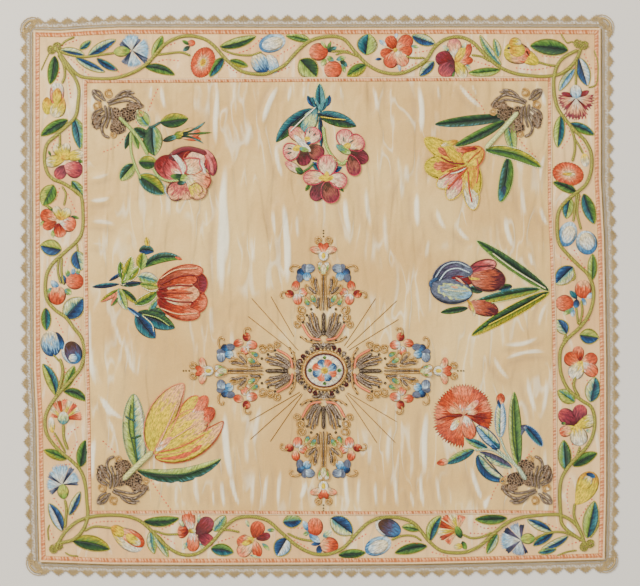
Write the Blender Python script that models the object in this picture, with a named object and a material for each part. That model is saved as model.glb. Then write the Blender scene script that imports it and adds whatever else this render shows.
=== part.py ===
# Embroidered chalice veil, lying flat
#
# A square of cream satin with a bobbin lace edging of gold metal thread,
# two woven braids that frame a flower border, and raised embroidery:
# a vine with blooms in the border, eight flower sprigs in the field,
# and a cross with a round medallion in the middle.
#
# Pattern coordinates: u runs right and v runs down, in millimetres, from
# the upper left corner of the pattern sheet. The part's own frame is in
# metres, with the origin under the middle of the veil, +Y to the upper
# edge and +Z away from the table.

import math

import bpy
import bmesh
import numpy as np
from mathutils import kdtree

MM = 0.001

# Place of the part's origin on the pattern sheet
ORIGIN_U = 319.8
ORIGIN_V = 296.2

# Heights above the table
CLOTH_THICKNESS = 1.5
LACE_THICKNESS = 1.0
SEAM_GAP = 0.3
MITRE_GAP = 0.45
WORK_BASE = CLOTH_THICKNESS + SEAM_GAP
BRAID_THICKNESS = 0.9
STEM_THICKNESS = 0.8
LEAF_THICKNESS = 1.0
BLOOM_THICKNESS = 1.4
MEDALLION_THICKNESS = 2.4
BEAD_RING_THICKNESS = 1.7

# Widths
OUTER_BRAID_WIDTH = 6.6
OUTER_BRAID_INSET = 2.6
INNER_BRAID_WIDTH = 4.8
VINE_WIDTH = 3.6

# Lace: pitch of the scallops, and how far each corner scallop reaches
SCALLOP_PITCH = 14.65
SCALLOP_START = -3.5
CORNER_VALLEY = 8.4
CORNER_TIP = 11.6

# One scallop of the lace: share of the pitch, depth past the cloth edge
SCALLOP = (
    (0.00, 7.4), (0.21, 11.2), (0.50, 13.6), (0.79, 11.2),
)

# Edges of the cloth, clockwise from the upper left corner: u, v
EDGES = {
    "top": ((34, 31), (60, 31.5), (90, 29.5), (120, 28.2), (300, 28.6), (450, 28.2), (600, 28.6)),
    "right": ((600, 28.6), (600.3, 180), (603.4, 240), (604.6, 300), (605.6, 360),
              (605.6, 490), (604, 559)),
    "bottom": ((604, 559), (530, 561), (410, 563.6), (200, 564.2), (110, 563.8), (40, 561.5)),
    "left": ((40, 561.5), (38, 480), (37, 420), (34.6, 370), (34, 200), (34, 31)),
}

# Middle line of the inner braid, clockwise: u, v
INNER_BRAID = {
    "top": ((85, 81), (190, 80.5), (320, 79.5), (450, 79), (550, 79)),
    "right": ((550, 79), (550, 200), (552.5, 260), (554.5, 330), (555, 400), (555.5, 513)),
    "bottom": ((555.5, 513), (480, 512), (380, 513.5), (270, 513), (180, 512.5), (89.5, 513)),
    "left": ((89.5, 513), (88.5, 430), (86.5, 330), (85.5, 250), (85, 160), (85, 81)),
}
OUTWARD = {"top": (0, -1), "right": (1, 0), "bottom": (0, 1), "left": (-1, 0)}
SIDES = ("top", "right", "bottom", "left")

# Creases of the satin: u, v at each end, width, height
CREASES = (
    (222, 195, 226, 300, 17, 1.7), (275, 205, 284, 285, 17, 1.8), (345, 195, 350, 240, 15, 1.3),
    (417, 195, 418, 228, 15, 1.3), (225, 410, 240, 505, 17, 1.8), (427, 410, 425, 490, 16, 1.6),
    (213, 405, 203, 430, 15, 1.2), (90, 305, 98, 385, 16, 1.6), (97, 395, 125, 420, 15, 1.2),
    (105, 430, 92, 480, 15, 1.4), (88, 200, 112, 197, 15, 1.4), (505, 215, 516, 250, 16, 1.5),
    (530, 340, 505, 358, 17, 1.4), (520, 372, 540, 430, 16, 1.3), (380, 300, 398, 240, 17, 1.2),
    (250, 100, 262, 125, 15, 1.5), (291, 85, 288, 112, 14, 1.4), (418, 88, 420, 125, 15, 1.5),
    (457, 90, 478, 112, 15, 1.4), (300, 470, 298, 508, 14, 1.3), (345, 470, 345, 508, 14, 1.3),
    (385, 470, 386, 508, 14, 1.3), (420, 470, 427, 508, 14, 1.3), (268, 470, 262, 508, 14, 1.4),
)
GRID_ACROSS = 38
GRID_DOWN = 36
CREASE_CLEARANCE = 17.0

# Border vines: u, v of their turns
VINES = {
    "top": ((79, 76.4), (95.5, 78), (113, 77.5), (136.5, 71), (154, 58.7), (164, 47.8), (177, 38.5),
            (191, 36), (204.7, 39.6), (214, 46), (226.6, 60), (240, 70.5), (254, 74), (267.6, 73.5),
            (284, 65.5), (297.6, 51), (311, 40.5), (330, 36.5), (344, 39.5), (355, 52),
            (368.6, 65.5), (383.6, 72.5), (400, 73.5), (415, 68), (427, 59), (434, 48), (445, 39.5),
            (459, 37), (472, 42), (483, 53), (497, 65.5), (513, 73), (530, 75.5), (548, 76.3)),
    "right": ((554, 86), (554.5, 96), (559, 112), (571, 127), (585, 140.6), (591, 154),
              (590, 175), (583, 194), (566, 205), (559.5, 225), (562, 245), (574, 260.5),
              (587, 274), (593, 290), (592, 309), (580, 325), (567, 339), (561.5, 353), (561, 371),
              (567, 386), (577, 391), (590, 405), (594, 423), (588, 446), (572, 465), (563, 483),
              (560.5, 500)),
    "bottom": ((549, 515.5), (533, 516.5), (520, 518), (508, 522), (494, 533), (480.6, 545),
               (467, 551.5), (453, 552.5), (440, 550), (428, 540), (415, 524), (401, 518),
               (385, 517.5), (370, 521.5), (358, 532), (344, 547), (330, 553.5), (314, 553.5),
               (297.6, 546), (281, 532), (267.6, 520.5), (251, 517), (236, 519), (224, 528),
               (213, 541), (196.5, 551.5), (180, 552), (164, 543.5), (153, 532), (139, 521),
               (123, 517.5), (104, 517), (95, 517)),
    "left": ((82, 499), (80.5, 486), (80, 470), (68, 457), (52, 442), (46.5, 421), (50, 405),
             (61, 391), (71, 382), (79.5, 366), (80, 346), (75, 331.5), (61, 319), (49, 308),
             (47, 290.5), (51, 271), (62, 256), (75, 240), (79.5, 220), (78, 203), (72, 194),
             (60, 187), (49, 176), (45.5, 158), (49, 143), (61, 130), (75, 113), (79, 95),
             (78.5, 88)),
}

# Raised blooms on each side of the border. rounds: u, v, across, down;
# stems: u, v at each end
BORDER_WORK = {
    "top": dict(
        rounds=((132, 51, 31, 31), (202, 61, 21, 29), (273, 43.5, 25, 17), (263, 61, 24, 20),
                (319, 52, 18, 16), (332, 66, 17, 16), (396, 52, 31, 32), (446, 60, 19, 26),
                (462, 57, 16, 24), (520, 51, 29, 21), (53, 50, 13, 12), (584, 49, 13, 12)),
        stems=((53, 50, 79, 76.4), (53, 51, 124, 53), (158, 55, 200, 57),
               (222, 52, 270, 54), (268, 50, 266, 60), (353, 53, 320, 55), (333, 55, 333, 64),
               (425, 60, 398, 58), (440, 45, 446, 56), (489, 60, 460, 55),
               (584, 49, 553, 64), (553, 62, 524, 56), (584, 50, 548, 76.3)),
    ),
    "right": dict(
        rounds=((577, 100, 32, 32), (568.5, 173, 27, 21), (570, 233, 18, 19), (585, 240, 16, 20),
                (581, 289, 15, 15), (567, 303, 13, 15), (580, 362, 29, 29), (574, 414, 28, 18),
                (576, 429, 30, 20), (585, 485, 23, 27)),
        stems=((554.5, 94, 570, 98), (575, 131, 571, 166), (562, 206, 568, 228),
               (570, 236, 585, 240), (580, 325, 580, 292), (580, 310, 568, 303),
               (579, 391, 580, 372), (566, 386, 572, 366), (592, 410, 582, 416),
               (574, 410, 576, 430), (561.5, 497, 584, 494)),
    ),
    "bottom": dict(
        rounds=((514, 540, 28, 28), (455, 532, 30, 26), (389, 528, 20, 18), (378, 543, 24, 17),
                (316, 528, 15, 17), (328, 544, 15, 14), (254, 538, 31, 31), (204, 530, 17, 24),
                (191, 533, 17, 30), (127, 539, 29, 21), (57, 544, 14, 13), (586, 545, 14, 13)),
        stems=((586, 545, 567, 516), (567, 516, 547, 515.5), (586, 545, 552, 536),
               (556, 536, 524, 539), (487, 539, 458, 534), (426, 538, 390, 530), (384, 530, 380, 542),
               (284, 534, 326, 543), (316, 536, 318, 540), (222, 533, 250, 533), (210, 540, 204, 534),
               (152, 531, 192, 534), (57, 544, 72, 522), (72, 522, 95, 517), (58, 544, 128, 536)),
    ),
    "left": dict(
        rounds=((55, 101, 22, 28), (62, 159, 26, 24), (71, 170, 17, 16), (58, 222, 30, 30),
                (73, 281, 15, 16), (58, 293, 16, 16), (53, 342, 20, 22), (70, 351, 17, 20),
                (66, 409, 28, 19), (62, 480, 30, 26)),
        stems=((66, 82, 78.5, 90), (66, 82, 57, 96), (62, 130, 62, 152), (66, 166, 70, 170),
               (60, 187, 58, 210), (64, 254, 60, 292), (62, 272, 72, 280), (70, 352, 58, 345),
               (62, 392, 60, 350), (65, 414, 70, 460), (63, 486, 64, 528), (64, 522, 82, 496)),
    ),
}

# Flower sprigs of the field, with the same columns and
# leaves: base u, base v, tip u, tip v, width
SPRIGS = {
    "rose": dict(
        rounds=((186, 172, 54, 50), (185, 134, 26, 11), (123, 119, 28, 24), (105, 121, 14, 18),
                (148, 162, 18, 12)),
        leaves=((114, 113, 91, 94, 7), (110, 106, 140, 103, 9), (108, 123, 107, 142, 7),
                (152, 128, 138, 111, 12), (150, 130, 188, 118, 13), (133, 127, 152, 140, 9),
                (152, 126, 150, 161, 18), (138, 162, 121, 179, 12), (136, 176, 163, 193, 15)),
        stems=((123, 119, 148, 156), (131, 130, 141, 178), (148, 160, 176, 176), (154, 142, 180, 135)),
    ),
    "pansies": dict(
        rounds=((303, 137, 30, 18), (295, 155, 22, 20), (351, 140, 26, 15), (357, 159, 22, 16),
                (327, 171, 31, 26), (316, 189, 20, 17), (333, 188, 19, 20)),
        leaves=((320, 113, 320, 84, 7), (321, 111, 276, 142, 14), (318, 115, 356, 126, 13)),
        stems=((320, 108, 321, 152), (322, 126, 332, 162), (332, 160, 352, 158),
               (329, 152, 348, 142), (321, 150, 298, 150)),
    ),
    "lily": dict(
        rounds=((522, 114, 34, 28), (470, 156, 30, 26)),
        leaves=((526, 107, 541, 87, 7), (524, 104, 493, 95, 9), (531, 120, 524, 138, 8),
                (512, 119, 434, 124, 10), (508, 121, 455, 145, 9), (509, 118, 509, 152, 12),
                (508, 146, 500, 201, 12), (485, 150, 541, 167, 11), (482, 150, 425, 138, 22),
                (480, 152, 437, 183, 17), (478, 153, 449, 199, 15), (474, 156, 473, 209, 15)),
        stems=((517, 113, 478, 153),),
    ),
    "anemone": dict(
        rounds=((182, 292, 48, 53),),
        leaves=((122, 288, 131, 256, 14), (140, 288, 147, 238, 14), (141, 270, 181, 258, 10),
                (134, 287, 158, 268, 8), (127, 310, 157, 291, 8), (125, 287, 102, 303, 8),
                (126, 306, 174, 327, 15), (128, 306, 155, 337, 12)),
        stems=((92, 287, 165, 286), (118, 286, 131, 310), (128, 307, 146, 320)),
    ),
    "iris": dict(
        rounds=((487, 272, 34, 24), (482, 303, 32, 24), (451, 273, 42, 22), (454, 291, 40, 26)),
        leaves=((548, 293, 477, 241, 9), (548, 291, 472, 334, 10), (540, 290, 472, 303, 9),
                (474, 300, 440, 312, 7)),
        stems=((548, 292, 470, 287), (524, 290, 490, 275)),
    ),
    "tulip": dict(
        rounds=((124, 480, 30, 24), (141, 486, 15, 18), (107, 479, 14, 20), (129, 494, 22, 12)),
        leaves=((109, 483, 97, 503, 7), (114, 478, 124, 458, 9), (137, 474, 134, 394, 20),
                (134, 470, 221, 460, 15), (150, 453, 183, 384, 26), (150, 453, 222, 422, 24),
                (152, 450, 208, 396, 42)),
        stems=((124, 480, 154, 446),),
    ),
    "carnation": dict(
        rounds=((463, 414, 58, 60), (527, 479, 42, 40)),
        leaves=((518, 470, 514, 392, 11), (499, 443, 500, 394, 9), (476, 448, 437, 461, 9),
                (500, 447, 474, 425, 10), (518, 440, 541, 444, 9), (538, 490, 549, 502, 7)),
        stems=((527, 479, 516, 464), (518, 468, 497, 440), (516, 466, 472, 450), (519, 462, 519, 438)),
    ),
}

# Cross: one arm, as distances along it from the middle and across it.
# rounds: along, across, length, width; the others as above
CROSS_MIDDLE = (323.5, 370.8)
CROSS_ARM = dict(
    rounds=((46, 0, 30, 36), (102, 0, 13, 15), (115, 0, 9, 10), (121, -8, 8, 9), (121, 8, 8, 9),
            (131, 0, 4.5, 15), (99, -18, 14, 18), (99, 18, 14, 18), (79, -25, 17, 13),
            (79, 25, 17, 13)),
    stems=((50, 0, 139, 0), (99, -20, 99, 20), (79, -26, 79, 26), (121, -8, 121, 8)),
)
ARM_TURNS = {"top": 0, "right": 1, "bottom": 2, "left": 3}
MEDALLION = (324.5, 370.5, 45, 40)
BEAD_RING = (324.5, 370.5, 58, 54)

LEAF_STEPS = 3
ROUND_SIDES = 8
RING_SIDES = 20

# Finishes: base colour, roughness, metallic
FINISHES = {
    "satin": ((0.66, 0.53, 0.33), 0.42, 0.0),
    "metal_lace": ((0.60, 0.48, 0.27), 0.45, 0.6),
    "braid": ((0.66, 0.42, 0.24), 0.55, 0.2),
    "silk_green": ((0.16, 0.26, 0.08), 0.5, 0.0),
    "silk_coral": ((0.55, 0.18, 0.10), 0.5, 0.0),
    "metal_thread": ((0.28, 0.22, 0.15), 0.4, 0.8),
    "medallion_silk": ((0.72, 0.64, 0.48), 0.55, 0.0),
}


def clear_scene():
    """Remove the objects that the scene starts with."""
    for thing in list(bpy.data.objects):
        bpy.data.objects.remove(thing, do_unlink=True)


def new_collection(name):
    """Make a collection in the scene."""
    made = bpy.data.collections.new(name)
    bpy.context.scene.collection.children.link(made)
    return made


def new_material(name, finish):
    """A Principled material with the finish's colour, roughness and metallic value."""
    colour, roughness, metallic = FINISHES[finish]
    made = bpy.data.materials.new(name)
    made.use_nodes = True
    shader = made.node_tree.nodes["Principled BSDF"]
    shader.inputs["Base Color"].default_value = (*colour, 1.0)
    shader.inputs["Roughness"].default_value = roughness
    shader.inputs["Metallic"].default_value = metallic
    return made


def to_frame(points):
    """Turn pattern coordinates, in mm, into the part's frame, in metres."""
    points = np.asarray(points, dtype=float)
    return np.column_stack([points[:, 0] - ORIGIN_U, ORIGIN_V - points[:, 1]]) * MM


def leaf_outline(base_u, base_v, tip_u, tip_v, width):
    """A lens from base to tip: its half width follows a sine to the power 0.8."""
    base = np.array([base_u, base_v], dtype=float)
    along = np.array([tip_u, tip_v]) - base
    across = np.array([-along[1], along[0]]) / np.hypot(*along)
    share = np.arange(1, LEAF_STEPS + 1) / (LEAF_STEPS + 1)
    half = width / 2 * np.sin(math.pi * share) ** 0.8
    middle = base + share[:, None] * along
    one_side = middle + half[:, None] * across
    other_side = middle - half[:, None] * across
    return np.vstack([base, one_side, base + along, other_side[::-1]])


def round_outline(u, v, across, down, sides=ROUND_SIDES):
    """An ellipse with the given full sizes."""
    angle = 2 * math.pi * (np.arange(sides) + 0.5) / sides
    return np.column_stack([u + across / 2 * np.cos(angle), v + down / 2 * np.sin(angle)])


def stem_outline(u1, v1, u2, v2, width=VINE_WIDTH * 0.8):
    """A straight strip between two points."""
    ends = np.array([(u1, v1), (u2, v2)], dtype=float)
    along = ends[1] - ends[0]
    across = np.array([-along[1], along[0]]) / np.hypot(*along) * width / 2
    return np.vstack([ends[0] - across, ends[1] - across, ends[1] + across, ends[0] + across])


def ribbon_outline(path, width):
    """A ribbon of even width along a path of points."""
    path = np.asarray(path, dtype=float)
    along = np.gradient(path, axis=0)
    along /= np.hypot(along[:, 0], along[:, 1])[:, None]
    across = np.column_stack([-along[:, 1], along[:, 0]]) * width / 2
    return np.vstack([path - across, (path + across)[::-1]])


def line_at(rows, place, axis):
    """Read a side's line at the given places: axis 0 gives v at u, axis 1 gives u at v."""
    rows = np.array(sorted(rows, key=lambda row: row[axis]), dtype=float)
    return np.interp(place, rows[:, axis], rows[:, 1 - axis])


def between_braids(outline, side):
    """Keep an outline of the border work off the braids on both sides of the border."""
    axis = 0 if side in ("top", "bottom") else 1
    out = sum(OUTWARD[side])
    place, depth = outline[:, axis], outline[:, 1 - axis].copy()
    outer_reach = OUTER_BRAID_INSET + OUTER_BRAID_WIDTH / 2 + SEAM_GAP
    outer = line_at(EDGES[side], place, axis) - out * outer_reach
    inner = line_at(INNER_BRAID[side], place, axis) + out * (INNER_BRAID_WIDTH / 2 + SEAM_GAP)
    low, high = np.minimum(inner, outer), np.maximum(inner, outer)
    kept = outline.copy()
    kept[:, 1 - axis] = np.clip(depth, low, high)
    return kept


def flat_solid(name, outlines, bottom, thickness):
    """A flat outline, or an outline with holes, as a 2D curve with an extrude, made a mesh."""
    curve = bpy.data.curves.new(name, "CURVE")
    curve.dimensions = "2D"
    curve.fill_mode = "BOTH"
    curve.extrude = thickness / 2 * MM
    for outline in outlines:
        spline = curve.splines.new("POLY")
        spline.points.add(len(outline) - 1)
        flat = to_frame(outline)
        rows = np.column_stack([flat, np.zeros(len(flat)), np.ones(len(flat))])
        spline.points.foreach_set("co", rows.ravel())
        spline.use_cyclic_u = True
    drawn = bpy.data.objects.new(name + "_outline", curve)
    bpy.context.scene.collection.objects.link(drawn)
    drawn.location.z = (bottom + thickness / 2) * MM
    bpy.context.view_layer.update()
    evaluated = drawn.evaluated_get(bpy.context.evaluated_depsgraph_get())
    mesh = bpy.data.meshes.new_from_object(evaluated)
    mesh.transform(drawn.matrix_world)
    bpy.data.objects.remove(drawn, do_unlink=True)
    bpy.data.curves.remove(curve)
    weld(mesh)
    made = bpy.data.objects.new(name, mesh)
    bpy.context.scene.collection.objects.link(made)
    return made


def weld(mesh):
    """Join the points of a curve's loose caps and turn the faces out."""
    work = bmesh.new()
    work.from_mesh(mesh)
    bmesh.ops.remove_doubles(work, verts=work.verts, dist=1e-6)
    bmesh.ops.recalc_face_normals(work, faces=work.faces)
    work.to_mesh(mesh)
    work.free()


def join_solids(name, pieces):
    """Join overlapping solids into one body with a Boolean union."""
    others = bpy.data.collections.new(name + "_pieces")
    first, rest = pieces[0], pieces[1:]
    for piece in rest:
        others.objects.link(piece)
    union = first.modifiers.new("join", "BOOLEAN")
    union.operation = "UNION"
    union.solver = "EXACT"
    union.operand_type = "COLLECTION"
    union.collection = others
    union.use_self = True
    bpy.context.view_layer.update()
    evaluated = first.evaluated_get(bpy.context.evaluated_depsgraph_get())
    mesh = bpy.data.meshes.new_from_object(evaluated)
    for piece in pieces:
        bpy.data.objects.remove(piece, do_unlink=True)
    bpy.data.collections.remove(others)
    tidy_flat_faces(mesh)
    made = bpy.data.objects.new(name, mesh)
    bpy.context.scene.collection.objects.link(made)
    return made


def tidy_flat_faces(mesh):
    """Merge the flat facets that a union leaves."""
    work = bmesh.new()
    work.from_mesh(mesh)
    bmesh.ops.dissolve_limit(work, angle_limit=math.radians(0.5), verts=work.verts, edges=work.edges)
    bmesh.ops.triangulate(work, faces=work.faces)
    work.to_mesh(mesh)
    work.free()


def keep(thing, collection, finish):
    """Put a finished solid in the part's collection, with a material of its own."""
    for held in list(thing.users_collection):
        held.objects.unlink(thing)
    collection.objects.link(thing)
    thing.data.materials.clear()
    thing.data.materials.append(new_material(thing.name, finish))
    return thing


def work_outlines(work):
    """Outlines and thicknesses of one group of raised work."""
    drawn = [(round_outline(*row), BLOOM_THICKNESS) for row in work["rounds"]]
    drawn += [(leaf_outline(*row), LEAF_THICKNESS) for row in work.get("leaves", ())]
    drawn += [(stem_outline(*row), STEM_THICKNESS) for row in work["stems"]]
    return drawn


def raised_work(name, drawn):
    """One body of raised work. Each piece has its own height, so that no tops coincide."""
    pieces = []
    for number, (outline, thickness) in enumerate(drawn):
        height = thickness + 0.01 * number
        pieces.append(flat_solid(f"{name}_{number}", [outline], WORK_BASE, height))
    return join_solids(name, pieces)


def arm_work(turns):
    """The rows of the cross arm, turned by quarter turns onto the pattern sheet."""
    angle = math.radians(90 * turns)
    cos, sin = round(math.cos(angle)), round(math.sin(angle))

    def place(along, across):
        u, v = across, -along
        return CROSS_MIDDLE[0] + u * cos - v * sin, CROSS_MIDDLE[1] + u * sin + v * cos

    rounds = []
    for along, across, length, width in CROSS_ARM["rounds"]:
        size = (width, length) if turns % 2 == 0 else (length, width)
        rounds.append((*place(along, across), *size))
    stems = [(*place(*row[0:2]), *place(*row[2:4])) for row in CROSS_ARM["stems"]]
    return dict(rounds=rounds, stems=stems)


def along_edge(side, share):
    """Points on an edge of the cloth, by share of its length."""
    rows = np.array(EDGES[side], dtype=float)
    steps = np.hypot(*np.diff(rows, axis=0).T)
    reach = np.concatenate([[0], np.cumsum(steps)]) / steps.sum()
    return np.column_stack([np.interp(share, reach, column) for column in rows.T])


def crease_height(points, worked):
    """Height of the satin's creases: soft ridges that stay clear of the raised work."""
    height = np.zeros(len(points))
    for u1, v1, u2, v2, width, top in CREASES:
        start = np.array([u1, v1], dtype=float)
        along = np.array([u2, v2]) - start
        share = np.clip((points - start) @ along / (along @ along), 0, 1)
        off = np.hypot(*(points - start - share[:, None] * along).T)
        height = np.maximum(height, top * np.exp(-((off / (width * 0.5)) ** 2)))
    tree = kdtree.KDTree(len(worked))
    for number, (u, v) in enumerate(worked):
        tree.insert((u, v, 0), number)
    tree.balance()
    clear = np.array([tree.find((u, v, 0))[2] for u, v in points])
    return np.where(clear > CREASE_CLEARANCE, height, 0.0)


def satin_sheet(worked):
    """The cloth: a grid blended between its four edges, raised at the creases, on a flat face."""
    sheet = bmesh.new()
    bmesh.ops.create_grid(sheet, x_segments=GRID_ACROSS, y_segments=GRID_DOWN, size=0.5)
    sheet.verts.ensure_lookup_table()
    across = np.array([vert.co.x + 0.5 for vert in sheet.verts])
    down = np.array([0.5 - vert.co.y for vert in sheet.verts])
    top, bottom = along_edge("top", across), along_edge("bottom", 1 - across)
    left, right = along_edge("left", 1 - down), along_edge("right", down)
    corner = {side: np.array(EDGES[side][0], dtype=float) for side in SIDES}
    a, d = across[:, None], down[:, None]
    straight = ((1 - a) * (1 - d) * corner["top"] + a * (1 - d) * corner["right"]
                + a * d * corner["bottom"] + (1 - a) * d * corner["left"])
    points = (1 - d) * top + d * bottom + (1 - a) * left + a * right - straight
    flat = to_frame(points)
    height = (CLOTH_THICKNESS + crease_height(points, worked)) * MM
    for vert, (x, y), z in zip(sheet.verts, flat, height):
        vert.co = (x, y, z)
    rim = [edge for edge in sheet.edges if edge.is_boundary]
    hem = bmesh.ops.extrude_edge_only(sheet, edges=rim)["geom"]
    for item in hem:
        if isinstance(item, bmesh.types.BMVert):
            item.co.z = 0
    lower = [item for item in hem if isinstance(item, bmesh.types.BMEdge)]
    bmesh.ops.contextual_create(sheet, geom=lower)
    bmesh.ops.triangulate(sheet, faces=sheet.faces)
    bmesh.ops.recalc_face_normals(sheet, faces=sheet.faces)
    mesh = bpy.data.meshes.new("satin_ground")
    sheet.to_mesh(mesh)
    sheet.free()
    made = bpy.data.objects.new("satin_ground", mesh)
    bpy.context.scene.collection.objects.link(made)
    return made


def side_direction(side):
    """Unit vector along a side, clockwise, and the one that points out of it."""
    out = np.array(OUTWARD[side], dtype=float)
    return np.array([-out[1], out[0]]), out


def lace_outline(side):
    """A lace strip: the cloth's edge on one side, scallops on the other, mitred ends."""
    along, out = side_direction(side)
    start, end = (np.array(EDGES[side][index], dtype=float) for index in (0, -1))
    length = np.hypot(*(end - start)) - 2 * SCALLOP_START
    count = round(length / SCALLOP_PITCH)
    scallop = np.array(SCALLOP)
    share = (np.arange(count)[:, None] + scallop[None, :, 0]).ravel() / count
    depth = np.tile(scallop[:, 1], count)
    reach = share * length + SCALLOP_START
    edge = along_edge(side, np.clip(reach / (length + 2 * SCALLOP_START), 0, 1))
    past = np.clip(reach, None, 0) + np.clip(reach - (length + 2 * SCALLOP_START), 0, None)
    heads = edge + past[:, None] * along + depth[:, None] * out
    last = end - SCALLOP_START * along + SCALLOP[0][1] * out
    half_gap = MITRE_GAP / 2
    tip = CORNER_TIP
    start_tip = start + (half_gap - tip) * along + tip * out
    start_side = start + (half_gap - CORNER_VALLEY - 0.4) * along + (CORNER_VALLEY + 2.4) * out
    end_side = end + (CORNER_VALLEY + 0.4 - half_gap) * along + (CORNER_VALLEY + 2.4) * out
    end_tip = end + (tip - half_gap) * along + tip * out
    foot = along_edge(side, np.linspace(1, 0, 24)) + SEAM_GAP * out
    foot[0] += (SEAM_GAP - half_gap) * along
    foot[-1] -= (SEAM_GAP - half_gap) * along
    return np.vstack([start_tip, start_side, heads, last, end_side, end_tip, foot])


def braid_outline(rows, side, width):
    """A braid strip along a middle line, with mitred ends a little apart at the corners."""
    along, out = side_direction(side)
    rows = np.array(rows, dtype=float)
    half = width / 2
    half_gap = MITRE_GAP / 2
    outer, inner = rows + half * out, rows - half * out
    outer[0] += (half_gap - half) * along
    inner[0] += (half_gap + half) * along
    outer[-1] -= (half_gap - half) * along
    inner[-1] -= (half_gap + half) * along
    return np.vstack([outer, inner[::-1]])


def outer_braid_rows(side):
    """Middle line of the outer braid: the cloth's edge, set in on every side."""
    along, out = side_direction(side)
    rows = np.array(EDGES[side], dtype=float) - OUTER_BRAID_INSET * out
    rows[0] += OUTER_BRAID_INSET * along
    rows[-1] -= OUTER_BRAID_INSET * along
    return rows


def build():
    """Make every solid of the veil."""
    clear_scene()
    veil = new_collection("chalice_veil")

    drawn = {"border_" + side: work_outlines(BORDER_WORK[side]) for side in SIDES}
    for side in SIDES:
        border = drawn["border_" + side]
        border.insert(0, (ribbon_outline(VINES[side], VINE_WIDTH), STEM_THICKNESS))
        border[:] = [(between_braids(outline, side), thickness) for outline, thickness in border]
    drawn.update({"sprig_" + name: work_outlines(work) for name, work in SPRIGS.items()})
    drawn.update({"cross_arm_" + side: work_outlines(arm_work(turns))
                  for side, turns in ARM_TURNS.items()})

    worked = [outline for group in drawn.values() for outline, _ in group]
    for side in SIDES:
        line = np.array(INNER_BRAID[side], dtype=float)
        share = np.linspace(0, 1, 60)
        steps = np.linspace(0, 1, len(line))
        worked.append(np.column_stack([np.interp(share, steps, column) for column in line.T]))
    worked.append(round_outline(*BEAD_RING, sides=RING_SIDES))
    keep(satin_sheet(np.vstack(worked)), veil, "satin")

    for side in SIDES:
        keep(flat_solid("lace_" + side, [lace_outline(side)], 0, LACE_THICKNESS), veil, "metal_lace")
        outer = braid_outline(outer_braid_rows(side), side, OUTER_BRAID_WIDTH)
        keep(flat_solid("outer_braid_" + side, [outer], WORK_BASE, BRAID_THICKNESS), veil, "braid")
        inner = braid_outline(INNER_BRAID[side], side, INNER_BRAID_WIDTH)
        keep(flat_solid("inner_braid_" + side, [inner], WORK_BASE, BRAID_THICKNESS), veil, "braid")

    finishes = {"border": "silk_green", "sprig": "silk_coral", "cross": "metal_thread"}
    for name, outlines in drawn.items():
        keep(raised_work(name, outlines), veil, finishes[name.split("_")[0]])

    keep(flat_solid("medallion", [round_outline(*MEDALLION, sides=RING_SIDES)],
                    WORK_BASE, MEDALLION_THICKNESS), veil, "medallion_silk")
    u, v, across, down = MEDALLION
    gap = 2 * SEAM_GAP
    ring = [round_outline(*BEAD_RING, sides=RING_SIDES),
            round_outline(u, v, across + gap, down + gap, sides=RING_SIDES)]
    keep(flat_solid("medallion_bead_ring", ring, WORK_BASE, BEAD_RING_THICKNESS), veil, "metal_thread")


build()
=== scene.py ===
# %% [markdown]
# # An embroidered chalice veil
#
# This lesson dresses a plain model of a chalice veil: a square of cream satin,
# edged with bobbin lace of gold metal thread, with braids, a flower border,
# flower sprigs and a cross. The plain model comes in as a fixed frame. Each
# cell makes one kind of piece as a surface worked out with numpy, and puts it
# where the frame says.

# %% Load the frame
import math

import bpy
import numpy as np
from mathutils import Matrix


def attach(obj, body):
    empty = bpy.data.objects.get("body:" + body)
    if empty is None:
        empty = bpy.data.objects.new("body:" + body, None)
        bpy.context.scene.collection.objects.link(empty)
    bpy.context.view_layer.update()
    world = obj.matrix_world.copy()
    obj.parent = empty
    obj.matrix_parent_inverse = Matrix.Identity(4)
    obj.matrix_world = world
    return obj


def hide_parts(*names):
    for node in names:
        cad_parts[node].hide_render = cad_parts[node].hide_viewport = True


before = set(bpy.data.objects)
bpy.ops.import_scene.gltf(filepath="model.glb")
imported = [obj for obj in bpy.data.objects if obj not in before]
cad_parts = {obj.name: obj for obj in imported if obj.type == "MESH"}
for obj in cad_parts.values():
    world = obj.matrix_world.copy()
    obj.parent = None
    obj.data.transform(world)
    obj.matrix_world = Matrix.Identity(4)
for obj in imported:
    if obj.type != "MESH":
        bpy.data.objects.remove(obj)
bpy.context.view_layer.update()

MM = 0.001
rng = np.random.default_rng(seed=7)
print("nodes in the frame:", len(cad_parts))

# %% [markdown]
# The embroidery was drawn on a pattern sheet, in millimetres, with u to the
# right and v down from the sheet's corner. One function turns sheet places
# into the frame's metres, so every table below can be read off the sheet.

# %% Pattern sheet
ORIGIN_U, ORIGIN_V = 319.8, 296.2
CLOTH_TOP = 1.5


def spot(u, v, lift):
    """Frame coordinates of sheet places u, v, in mm, at a height lift, in mm, over the table."""
    u, v, lift = np.broadcast_arrays(u, v, lift)
    return np.stack([(u - ORIGIN_U) * MM, (ORIGIN_V - v) * MM, lift * MM], axis=-1)


# %% [markdown]
# The camera looks straight down, as the veil was pictured. It stands far off
# with a long lens, so the flat cloth shows without perspective. The picture
# is 640 by 586, and at this scale one millimetre of cloth is one pixel.

# %% Camera
PICTURE = (640, 586)
CAMERA_HEIGHT = 3.0
SENSOR = 36.0

camera_data = bpy.data.cameras.new("camera")
camera_data.sensor_width = SENSOR
camera_data.lens = SENSOR * CAMERA_HEIGHT / (PICTURE[0] * MM)
camera = bpy.data.objects.new("camera", camera_data)
camera.location = ((PICTURE[0] / 2 - ORIGIN_U) * MM, (ORIGIN_V - PICTURE[1] / 2) * MM, CAMERA_HEIGHT)
bpy.context.scene.collection.objects.link(camera)
bpy.context.scene.camera = camera
print("lens", round(camera_data.lens, 1), "mm")

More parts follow.
